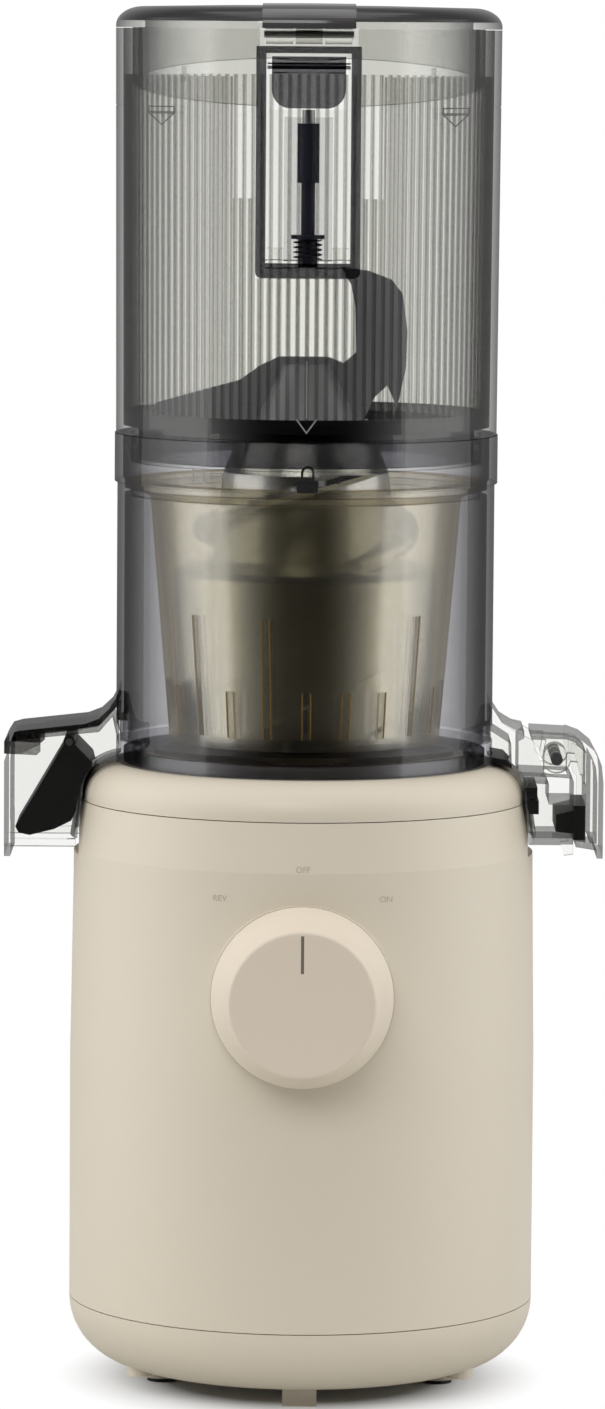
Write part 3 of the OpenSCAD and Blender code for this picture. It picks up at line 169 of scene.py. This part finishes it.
# %% Solid finishes
def solid_shader(material, colour, roughness, metallic=0.0, grit_mm=0, grit_depth=0.0):
    links = {}
    if grit_mm:
        place = add_node(material, "ShaderNodeTexCoord")
        noise = add_node(material, "ShaderNodeTexNoise", values={"Scale": 1 / (grit_mm * mm), "Detail": 2.0},
                         links={"Vector": place.outputs["Object"]})
        bump = add_node(material, "ShaderNodeBump", values={"Strength": grit_depth, "Distance": 0.1 * mm},
                        links={"Height": noise.outputs["Fac"]})
        links["Normal"] = bump.outputs["Normal"]
    skin = add_node(material, "ShaderNodeBsdfPrincipled", links=links,
                    values={"Base Color": linear(colour), "Roughness": roughness, "Metallic": metallic, "IOR": 1.5})
    return skin.outputs["BSDF"]


def solid_finish(name, colour, roughness, **more):
    material = new_material(name)
    return surface(material, solid_shader(material, colour, roughness, **more))


# %% [markdown]
# Tinted clear plastic is hard to read if it is built as solid glass: every wall bends the light twice and the render
# turns to noise. Here each surface lets the light straight through with a tint, and reflects a little of the room.
# The tint is much stronger where the wall is seen on edge, because there the light has more plastic to cross. The gloss
# grows towards the edge in the same way on both faces of a wall, so that no face turns into a full mirror.

# %% Clear finishes
grazing_power = 5.0  # how quickly a smooth surface starts to mirror as it turns away from the eye


def clear_shader(material, face_tint, edge_tint, edge_power=2.0, roughness=0.04, straight_gloss=0.03, edge_gloss=0.35,
                 gloss_tint="#FFFFFF"):
    turn = add_node(material, "ShaderNodeLayerWeight", values={"Blend": 0.5})
    steep = add_node(material, "ShaderNodeMath", {"operation": "POWER"}, values={1: edge_power},
                     links={0: turn.outputs["Facing"]})
    tint = add_node(material, "ShaderNodeMixRGB", values={"Color1": linear(face_tint), "Color2": linear(edge_tint)},
                    links={"Fac": steep.outputs["Value"]})
    through = add_node(material, "ShaderNodeBsdfTransparent", links={"Color": tint.outputs["Color"]})
    mirror = add_node(material, "ShaderNodeBsdfGlossy", values={"Color": linear(gloss_tint), "Roughness": roughness})
    grazing = add_node(material, "ShaderNodeMath", {"operation": "POWER"}, values={1: grazing_power},
                       links={0: turn.outputs["Facing"]})
    gloss = add_node(material, "ShaderNodeMath", {"operation": "MULTIPLY_ADD"},
                     values={1: edge_gloss, 2: straight_gloss}, links={0: grazing.outputs["Value"]})
    both = add_node(material, "ShaderNodeMixShader",
                    links={"Fac": gloss.outputs["Value"], 1: through.outputs["BSDF"], 2: mirror.outputs["BSDF"]})
    return both.outputs["Shader"]


def clear_finish(name, face_tint, edge_tint, **more):
    material = new_material(name)
    return surface(material, clear_shader(material, face_tint, edge_tint, **more))


# %% Floor and backdrop
def sweep_finish(name, colour, near, far):
    """A white paper sweep: it takes the object's shadow close by, and is plain white further away."""
    material = new_material(name)
    place = add_node(material, "ShaderNodeTexCoord")
    distance = add_node(material, "ShaderNodeVectorMath", {"operation": "LENGTH"},
                        links={0: place.outputs["Object"]})
    fade = add_node(material, "ShaderNodeMapRange", values={"From Min": near, "From Max": far},
                    links={"Value": distance.outputs["Value"]})
    ray = add_node(material, "ShaderNodeLightPath")
    seen = add_node(material, "ShaderNodeMath", {"operation": "MULTIPLY"},
                    links={0: fade.outputs["Result"], 1: ray.outputs["Is Camera Ray"]})
    paper = add_node(material, "ShaderNodeBsdfDiffuse", values={"Color": linear(colour)})
    white = add_node(material, "ShaderNodeEmission", values={"Color": linear("#FFFFFF"), "Strength": 1.0})
    both = add_node(material, "ShaderNodeMixShader",
                    links={"Fac": seen.outputs["Value"], 1: paper.outputs["BSDF"], 2: white.outputs["Emission"]})
    return surface(material, both.outputs["Shader"])


floor_r = 0.48  # no larger, or the leaning walls would mirror the bright paper in place of the dark room
bpy.ops.mesh.primitive_circle_add(vertices=96, radius=floor_r, fill_type="NGON", location=(0, 0, 0))
floor = bpy.context.object
floor.name = "paper sweep"
floor.data.materials.append(sweep_finish("white paper sweep", "#D6D6D3", near=0.045, far=0.08))

# %% [markdown]
# The room is what the shiny surfaces mirror. It is pale at the sides and above, dimmer behind the object, and dark
# behind the camera, as a studio is. That dark side gives the steel grey screw its dark middle. The eye itself sees a
# plain white backdrop.

# %% Room
room_light, dark_front, dim_back = 0.70, 0.0, 0.45
front_fade = (0.25, 0.97)  # cosines from the camera's side, between which the room turns dark
back_fade = (-0.8, -0.2)  # and those between which the dim back brightens


def build_room():
    room = bpy.data.worlds.new("room")
    bpy.context.scene.world = room
    room.use_nodes = True
    room.node_tree.nodes.clear()
    direction = add_node(room, "ShaderNodeTexCoord")
    forward = add_node(room, "ShaderNodeVectorMath", {"operation": "DOT_PRODUCT"}, values={1: (0, -1, 0)},
                       links={0: direction.outputs["Generated"]})
    front, back = [
        add_node(room, "ShaderNodeMapRange", {"interpolation_type": "SMOOTHSTEP"},
                 values={"From Min": fade[0], "From Max": fade[1], "To Min": start, "To Max": end},
                 links={"Value": forward.outputs["Value"]})
        for fade, start, end in ((front_fade, room_light, dark_front), (back_fade, dim_back, room_light))]
    level = add_node(room, "ShaderNodeMath", {"operation": "MINIMUM"},
                     links={0: front.outputs["Result"], 1: back.outputs["Result"]})
    walls = add_node(room, "ShaderNodeBackground", values={"Color": linear("#FFFFFF")},
                     links={"Strength": level.outputs["Value"]})
    backdrop = add_node(room, "ShaderNodeBackground", values={"Color": linear("#FFFFFF"), "Strength": 1.0})
    ray = add_node(room, "ShaderNodeLightPath")
    both = add_node(room, "ShaderNodeMixShader",
                    links={"Fac": ray.outputs["Is Camera Ray"], 1: walls.outputs["Background"],
                           2: backdrop.outputs["Background"]})
    add_node(room, "ShaderNodeOutputWorld", links={"Surface": both.outputs["Shader"]})


build_room()
bpy.context.scene.view_settings.view_transform = "Standard"
bpy.context.scene.cycles.transparent_max_bounces = 48  # a ray crosses up to two dozen clear walls

# %% [markdown]
# ## The finishes
# Each one is named for the real material and how its surface was made.

# %% Make the finishes
smoke_face, smoke_edge = "#FDFDFC", "#7C7C7B"
finishes = {
    # ABS moulded in a spark-eroded tool: a fine grit that spreads the highlight over the shell
    "beige_shell": solid_finish("ABS beige, fine texture moulding", "#D9CFBD", 0.46, grit_mm=0.5, grit_depth=0.05),
    # the same ABS with a warmer matt paint
    "beige_knob": solid_finish("ABS beige, matt painted", "#DFD2C0", 0.50, grit_mm=0.5, grit_depth=0.04),
    "marker_paint": solid_finish("tampo print, brown grey", "#6E655A", 0.55),
    # silicone is almost black, and its highlights are wide and dull
    "black_rubber": solid_finish("silicone rubber, black", "#0C0C0D", 0.42),
    "black_plastic": solid_finish("ABS black, polished moulding", "#0E0E10", 0.22),
    "steel": solid_finish("stainless steel, ground", "#C4C6C8", 0.28, metallic=1.0),
    "zinc_plate": solid_finish("steel, zinc plated", "#A9ADB2", 0.42, metallic=1.0),
    "circuit_board": solid_finish("glass fibre board, solder mask", "#1F4A2C", 0.40),
    "brass": solid_finish("brass, turned", "#C9A95E", 0.30, metallic=1.0),
    "white_nylon": solid_finish("nylon, moulded natural", "#EAE8E0", 0.45),
    "smoke_clear": clear_finish("copolyester clear smoke, polished moulding", smoke_face, smoke_edge),
    # the strainer is amber: pale where the wall is thin to the eye, gold along its sides, with a soft sheen
    "amber_clear": clear_finish("polyetherimide amber, finely textured moulding", "#FBF9F1", "#C2A350",
                                edge_power=3.5, roughness=0.2, straight_gloss=0.3, gloss_tint="#FFFCEE"),
    # the screw is moulded in a plastic filled with fine metal flake, and polished: it mirrors the room softly
    "cream_plastic": solid_finish("polyetherimide with metal flake, polished", "#D6D4CA", 0.26, metallic=1.0),
    "dark_plastic": solid_finish("polyetherimide dark grey, moulded", "#8A8B90", 0.30),
    "smoke_dark": solid_finish("copolyester dark smoke, polished moulding", "#434141", 0.16),
}


# %% Finishes of single parts
def parted_finish(name, parting_z, above, below):
    """One moulding that looks different over and under a height, such as a thick disc with a thin skirt."""
    material = new_material(name)
    place = add_node(material, "ShaderNodeTexCoord")
    split = add_node(material, "ShaderNodeSeparateXYZ", links={"Vector": place.outputs["Object"]})
    upper = add_node(material, "ShaderNodeMath", {"operation": "GREATER_THAN"}, values={1: parting_z},
                     links={0: split.outputs["Z"]})
    both = add_node(material, "ShaderNodeMixShader",
                    links={"Fac": upper.outputs["Value"], 1: below(material), 2: above(material)})
    return surface(material, both.outputs["Shader"])


def smoked_rim(material, colour, edge_colour, roughness, edge_gain=1.9, ior=1.35):
    """Dark smoke plastic: the more its surface turns away from the eye, the more plastic the light has to cross."""
    turn = add_node(material, "ShaderNodeLayerWeight", values={"Blend": 0.5})
    deep = add_node(material, "ShaderNodeMath", {"operation": "MULTIPLY", "use_clamp": True}, values={1: edge_gain},
                    links={0: turn.outputs["Facing"]})
    tint = add_node(material, "ShaderNodeMixRGB", values={"Color1": linear(colour), "Color2": linear(edge_colour)},
                    links={"Fac": deep.outputs["Value"]})
    skin = add_node(material, "ShaderNodeBsdfPrincipled", values={"Roughness": roughness, "IOR": ior},
                    links={"Base Color": tint.outputs["Color"]})
    return skin.outputs["BSDF"]


chamber_floor_z = chamber_low.z + 7.4 * mm
lid_skirt_z = hopper_rim_z + 0.25 * mm
node_finishes = {
    # the chamber is one thick wall, so each of its surfaces takes away more light than the hopper's do;
    # its floor is level and always seen at a slant, and must not turn black there
    "chamber": parted_finish("copolyester clear smoke, thick wall and thin floor", chamber_floor_z,
                             above=lambda made: clear_shader(made, "#F2F2F3", "#060607", edge_power=1.65),
                             below=lambda made: clear_shader(made, "#F4F4F5", "#B4B4B8", edge_gloss=0.1)),
    "chamber_gasket": clear_finish("silicone rubber, translucent grey", "#C8C8CC", "#8A8A8E", roughness=0.25,
                                   straight_gloss=0.08),
    "lid": parted_finish("copolyester dark smoke, thick disc and thin skirt", lid_skirt_z,
                         above=lambda made: smoked_rim(made, "#474545", "#060606", 0.2),
                         below=lambda made: clear_shader(made, "#F0F0EE", smoke_edge)),
    # the funnel is black where it shows in the hopper, and a heavy smoke tube hangs under it
    "hopper_funnel": parted_finish("copolyester black ring and heavy smoke tube", hopper_foot_z - seat_gap,
                                   above=lambda made: solid_shader(made, "#0E0E10", 0.22),
                                   below=lambda made: clear_shader(made, "#ABABB0", "#202024", edge_gloss=0.1)),
    "tongue_frame": clear_finish("copolyester heavy smoke, polished frame", "#9A9A9C", "#101011"),
    "rod_housing": clear_finish("copolyester clear smoke, polished channel", "#F2F2F3", "#26262B", edge_power=1.0),
    "finger_tab": clear_finish("copolyester heavy smoke, polished tab", "#A8A8AA", "#0E0E10", edge_power=1.2),
    "interlock_rod": solid_finish("polyacetal blue black, moulded", "#1B1D2B", 0.3),
    "rod_spring": solid_finish("spring steel, black oxide", "#34353B", 0.4, metallic=1.0),
    # the pulp cover is the same smoke plastic with more pigment
    "pulp_cover": clear_finish("copolyester heavy smoke, polished moulding", "#A6A5A4", "#3C3B3B", roughness=0.08),
}
slot_of = {piece["node"]: piece["material_slot"] for piece in frame["record"]["subparts"]}
for name, part in nodes.items():
    part.data.materials.clear()
    part.data.materials.append(node_finishes.get(name, finishes[slot_of[name]]))
print("finishes:", len(finishes) + len(node_finishes))

# %% [markdown]
# ## The hopper's flutes
# The inside of the real hopper is moulded with narrow upright flutes, like reeded glass, that hide scratches. Each
# flute is a low round arch, and where two arches meet the surface is steep, which draws one dark line. A thin ring
# with a scalloped edge is the simplest way to get them: one circle is drawn, the points of each arch are pushed
# inwards, and the edge is pulled upwards into a wall.

# %% Helpers for new pieces
def make_active(piece):
    bpy.ops.object.select_all(action="DESELECT")
    piece.select_set(True)
    bpy.context.view_layer.objects.active = piece


def pick(piece, kind, wanted):
    """Go into edit mode with the points (VERT) or the faces (FACE) selected that the rule wants."""
    bpy.ops.object.mode_set(mode="EDIT")
    bpy.ops.mesh.select_mode(type=kind)
    bpy.ops.mesh.select_all(action="DESELECT")
    bpy.ops.object.mode_set(mode="OBJECT")
    for item in piece.data.vertices if kind == "VERT" else piece.data.polygons:
        item.select = bool(wanted(item))
    bpy.ops.object.mode_set(mode="EDIT")


def face_outwards():
    """Turn every face of the active piece outwards, and leave edit mode."""
    bpy.ops.object.mode_set(mode="EDIT")
    bpy.ops.mesh.select_all(action="SELECT")
    bpy.ops.mesh.normals_make_consistent(inside=False)
    bpy.ops.object.mode_set(mode="OBJECT")


def complete(piece, name, finish, body, smooth_angle=30):
    make_active(piece)
    bpy.ops.object.transform_apply(location=True, rotation=True, scale=True)
    bpy.ops.object.shade_smooth_by_angle(angle=math.radians(smooth_angle))
    piece.name = name
    piece.data.name = name
    piece.data.materials.clear()
    piece.data.materials.append(finish)
    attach(piece, body)
    print(name, "has", len(piece.data.polygons), "faces")


# %% Flutes
flute_count = 120
points_per_flute = 8
flute_depth = 0.7 * mm
flute_skin = 0.4 * mm
flute_r = hopper_foot_r - hopper_wall
flute_top_r = hopper_rim_r - hopper_wall

# the flutes start in the funnel's ring, make room for the window in the tongue, then for the window's guides too,
# and end under the lid's skirt
flute_foot_z = funnel_high.z - 1.5 * mm
window_z = tongue_low.z - 0.2 * mm
guides_z = tongue_low.z + 25 * mm
flute_top_z = hopper_rim_z - 17.2 * mm
window_half = tongue_high.x + 0.6 * mm
guides_half = window_half + 6.5 * mm


def in_gap(face):
    in_window = face.center.z > window_z and abs(face.center.x) < window_half
    in_guides = face.center.z > guides_z and abs(face.center.x) < guides_half
    return face.center.y < 0 and (in_window or in_guides)


bpy.ops.mesh.primitive_circle_add(vertices=flute_count * points_per_flute, radius=flute_r,
                                  location=(0, 0, flute_foot_z))
flutes = bpy.context.object
for step in range(1, points_per_flute):
    arch = math.sin(math.pi * step / points_per_flute)
    pick(flutes, "VERT", lambda point: point.index % points_per_flute == step)
    squeeze = 1 - arch * flute_depth / flute_r
    bpy.ops.transform.resize(value=(squeeze, squeeze, 1))
bpy.ops.mesh.select_all(action="SELECT")
for low, high in ((flute_foot_z, window_z), (window_z, guides_z), (guides_z, flute_top_z)):
    bpy.ops.mesh.extrude_region_move(TRANSFORM_OT_translate={"value": (0, 0, high - low)})
    widen = 1 + (flute_top_r - flute_r) * (high - low) / (hopper_rim_z - hopper_foot_z) / flute_r
    bpy.ops.transform.resize(value=(widen, widen, 1))
bpy.ops.object.mode_set(mode="OBJECT")
bpy.ops.object.transform_apply(location=True, rotation=True, scale=True)
pick(flutes, "FACE", in_gap)
bpy.ops.mesh.delete(type="FACE")
face_outwards()
wall = flutes.modifiers.new("wall", "SOLIDIFY")
wall.thickness = flute_skin
wall.offset = -1
bpy.ops.object.modifier_apply(modifier="wall")
flute_finish = clear_finish("copolyester clear smoke, moulded flutes", "#FEFEFD", "#A2A2A1", edge_power=1.8,
                            straight_gloss=0.01, edge_gloss=0.1)
complete(flutes, "hopper_flutes", flute_finish, "hopper", smooth_angle=28)

# %% Roots of the flutes, with a painted shade
root_half = 1.5 / points_per_flute  # as a share of one flute


def in_root(face):
    pitch = math.atan2(face.center.y, face.center.x) / math.tau * flute_count % 1
    return min(pitch, 1 - pitch) < root_half


# the narrow root between two flutes bends the light away; its faces are tinted darker, a painted shade for that
flutes.data.materials.append(clear_finish("copolyester clear smoke, painted shade in a flute's root", "#E2E2E0", "#6A6A6A",
                                          edge_power=1.6, straight_gloss=0.01, edge_gloss=0.1))
pick(flutes, "FACE", in_root)
flutes.active_material_index = 1
bpy.ops.object.material_slot_assign()
bpy.ops.object.mode_set(mode="OBJECT")

# %% [markdown]
# ## The rod's spring
# The spring under the interlock rod gets shorter as the rod goes down, so it is made again here as a piece that can
# be squashed. One small circle is carried round the rod by a screw modifier.

# %% Rod spring
wire_r, wire_sides = 0.25 * mm, 10
spring_turns, steps_per_turn = 4, 24
coil_r = (spring_high.x - spring_low.x) / 2 - wire_r
spring_height = spring_high.z - spring_low.z
spring_y = (spring_low.y + spring_high.y) / 2

bpy.ops.mesh.primitive_circle_add(vertices=wire_sides, radius=wire_r, fill_type="NGON", location=(coil_r, 0, 0),
                                  rotation=(math.pi / 2, 0, 0))
spring = bpy.context.object
bpy.ops.object.transform_apply(location=True, rotation=True, scale=True)
coil = spring.modifiers.new("coil", "SCREW")
coil.axis = "Z"
coil.screw_offset = (spring_height - 2 * wire_r) / spring_turns
coil.iterations = spring_turns
coil.steps = coil.render_steps = steps_per_turn
bpy.ops.object.modifier_apply(modifier="coil")
face_outwards()
spring.location = (0, spring_y, spring_low.z + wire_r)
complete(spring, "coil_spring", node_finishes["rod_spring"], "lid")
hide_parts("rod_spring")
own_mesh(spring)

# %% [markdown]
# ## Marks on the walls
# Arrows on the hopper and a padlock on the chamber's collar show how the two lock together, and the knob's three
# settings are printed round it. On the real parts these are skin deep. The moulded marks under the hopper and on the
# collar are coloured as a painted highlight, and one upright bar under the hopper is only a painted highlight. Each
# mark is drawn flat in front of the object from narrow bars, pressed backwards onto the wall with a shrinkwrap, and
# given a little thickness.

# %% Helpers for marks
draw_y = -0.13  # in front of every wall that carries a mark
wall_gap = 0.02 * mm
line_height = 0.12 * mm
ink_height = 0.05 * mm


def bar(start, end, width):
    """A flat bar between two points, given as x and z in millimetres."""
    run_x, run_z = end[0] - start[0], end[1] - start[1]
    place = ((start[0] + end[0]) / 2 * mm, draw_y, (start[1] + end[1]) / 2 * mm)
    bpy.ops.mesh.primitive_plane_add(size=1, location=place, rotation=(math.pi / 2, -math.atan2(run_z, run_x), 0))
    piece = bpy.context.object
    piece.scale = ((math.hypot(run_x, run_z) + width) * mm, width * mm, 1)
    return piece


def stroke(at, points, width, closed=False):
    """Bars from point to point. The points are x and z in millimetres from the mark's own place."""
    placed = [(at[0] + x, at[1] + z) for x, z in points]
    ends = placed[1:] + placed[:1] if closed else placed[1:]
    return [bar(start, end, width) for start, end in zip(placed, ends)]


def joined(pieces):
    make_active(pieces[0])
    for piece in pieces:
        piece.select_set(True)
    if len(pieces) > 1:
        bpy.ops.object.join()
    bpy.ops.object.transform_apply(location=True, rotation=True, scale=True)
    return pieces[0]


def press_on(piece, part, height, cuts=3):
    """Lay a flat mark on the front of a part and give it a thickness. The cuts let a long bar follow a round wall."""
    if cuts:
        bpy.ops.object.mode_set(mode="EDIT")
        bpy.ops.mesh.select_all(action="SELECT")
        bpy.ops.mesh.subdivide(number_cuts=cuts)
        bpy.ops.object.mode_set(mode="OBJECT")
    press = piece.modifiers.new("press", "SHRINKWRAP")
    press.target = part
    press.wrap_method = "PROJECT"
    press.use_project_y = True
    press.offset = wall_gap
    bpy.ops.object.modifier_apply(modifier="press")
    raised = piece.modifiers.new("raised", "SOLIDIFY")
    raised.thickness = height
    raised.offset = 1
    bpy.ops.object.modifier_apply(modifier="raised")


def line_mark(name, bars, finish, body):
    mark = joined(bars)
    press_on(mark, nodes[body], line_height)
    complete(mark, name, finish, body)


# %% Arrows on the hopper
moulded_line = solid_finish("copolyester smoke, frosted line", "#4C4C4B", 0.5)
# painted highlight: moulded marks in the clear plastic are coloured light grey, as their edges look when they catch the
# light
painted_highlight_line = solid_finish("copolyester moulded mark, painted highlight", "#8E8E8C", 0.3)
arrow_line = 0.35
arrow_z = hopper_rim_z / mm - 27.0
inner_x, tip_x, outer_x = 42.7, 46.7, 50.9
band_drop, head_drop, tip_drop = 1.7, 2.1, 5.7
for side, name in ((-1, "left_arrow"), (1, "right_arrow")):
    at = (0, arrow_z)
    inner, tip, outer = side * inner_x, side * tip_x, side * outer_x
    band = stroke(at, [(inner, 0), (outer, 0), (outer, -band_drop), (inner, -band_drop)], arrow_line, closed=True)
    head = stroke(at, [(inner, -head_drop), (outer, -head_drop), (tip, -tip_drop)], arrow_line, closed=True)
    line_mark(name, band + head, moulded_line, "hopper")

foot_at = (0, hopper_foot_z / mm)
# the V is a moulded pointer; the upright bar above it is only a painted highlight, the glint down the middle flute
pointer = stroke(foot_at, [(-3.1, 7.6), (0, 3.4), (3.1, 7.6)], 0.4) + stroke(foot_at, [(0, 8), (0, 26)], 0.3)
line_mark("foot_pointer_and_painted_highlight", pointer, painted_highlight_line, "hopper")

# %% Padlock on the collar
lock_print = solid_finish("tampo print, black", "#0D0D10", 0.45)
lock_at = (0.5, chamber_high.z / mm - 11.4)
shackle_line, shackle_half, shackle_foot, shackle_z, shackle_rise = 0.75, 1.75, 0.4, 2.4, 1.9
case_line, case_half, case_top, case_middle, case_foot = 1.0, 2.7, -0.5, -2.0, -3.5
fill_line, fill_near, fill_far = 2.6, 1.3, 2.1  # two wide bars fill the case between its top and its foot

arch = [(shackle_half * math.cos(turn), shackle_z + shackle_rise * math.sin(turn))
        for turn in (math.radians(step * 30) for step in range(7))]
shackle = [(shackle_half, shackle_foot)] + arch + [(-shackle_half, shackle_foot)]
padlock = stroke(lock_at, shackle, shackle_line)
for height in (case_top, case_foot):
    padlock += stroke(lock_at, [(-case_half, height), (case_half, height)], case_line)
for start, end in ((-fill_far, -fill_near), (fill_near, fill_far)):
    padlock += stroke(lock_at, [(start, case_middle), (end, case_middle)], fill_line)
side_arrow = stroke(lock_at, [(8.0, 0), (9.8, 1.0), (9.8, -1.0)], 0.4, closed=True)
line_mark("padlock_sign", padlock + side_arrow, lock_print, "chamber")

# the collar's moulded marks are coloured as a painted highlight
tally_at = (0, chamber_high.z / mm - 10.6)
tally = stroke(tally_at, [(-35.9, -1.9), (-35.9, 1.9)], 0.5) + stroke(tally_at, [(-32.4, -1.9), (-32.4, 1.9)], 0.5)
tally += stroke(tally_at, [(-30.2, -0.9), (-26.7, -0.9), (-26.7, 0.8), (-30.2, 0.8)], 0.35, closed=True)
line_mark("collar_marks", tally, painted_highlight_line, "chamber")

# %% [markdown]
# ## The strainer's slits
# Light runs through the amber plastic and comes out where it is cut, so both sides of every slit glow gold. That glow
# is painted light: a thin lip stands along each side, coloured gold as a painted glow. The lips lean outwards with the
# strainer's wall.

# %% Gold lips along the slits, a painted glow
# painted light: the gold colour stands for the glow of light leaving the cut amber
painted_glow_finish = solid_finish("polyetherimide amber, painted glow at a cut edge", "#B5924A", 0.35)
slit_count, first_slit = 22, 270.8  # the first slit's place is in degrees, and every length here is in millimetres
half_slit, short_slit, long_slit, slit_foot = 1.4, 15, 39, 4
lip_depth, lip_width = 0.5, 0.4
wall_inset, wall_lean, strainer_rim = 18.6, 6.6, 5.4
lean = math.atan2(wall_lean, strainer_high.z / mm - strainer_rim - strainer_low.z / mm)
lips = []
for number in range(slit_count):
    turn = math.radians(first_slit + number * 360 / slit_count)
    length = long_slit if number % 4 == 3 or number == slit_count - 1 else short_slit
    middle_z = slit_foot + length / 2
    out = chamber_high.x / mm - wall_inset + middle_z * math.tan(lean)
    for side in (-1, 1):
        place = Vector((out, side * half_slit, strainer_low.z / mm + middle_z)) * mm
        upright = Matrix.Rotation(turn, 4, "Z") @ Matrix.Translation(place)
        shape = Matrix.Diagonal((lip_depth * mm, lip_width * mm, length * mm, 1))
        bpy.ops.mesh.primitive_cube_add(size=1)
        lip = bpy.context.object
        lip.matrix_world = upright @ Matrix.Rotation(lean, 4, "Y") @ shape
        lips.append(lip)
complete(joined(lips), "slit_lips_painted_glow", painted_glow_finish, "chamber")

# %% Settings round the knob
settings_print = solid_finish("tampo print, pale brown", "#B9AE9C", 0.5)
letter_size, baseline_drop = 2.7, 0.9
for text, x, rise in (("REV", -26.4, 30.9), ("OFF", 0, 40.6), ("ON", 26.4, 30.9)):
    bpy.ops.object.text_add(location=(x * mm, draw_y, knob_z + (rise - baseline_drop) * mm),
                            rotation=(math.pi / 2, 0, 0))
    word = bpy.context.object
    word.data.body = text
    word.data.align_x = "CENTER"
    word.data.size = letter_size * mm
    bpy.ops.object.convert(target="MESH")
    mark = joined([bpy.context.object])
    press_on(mark, nodes["body_shell"], ink_height, cuts=0)
    complete(mark, "setting_" + text.lower(), settings_print, "base")
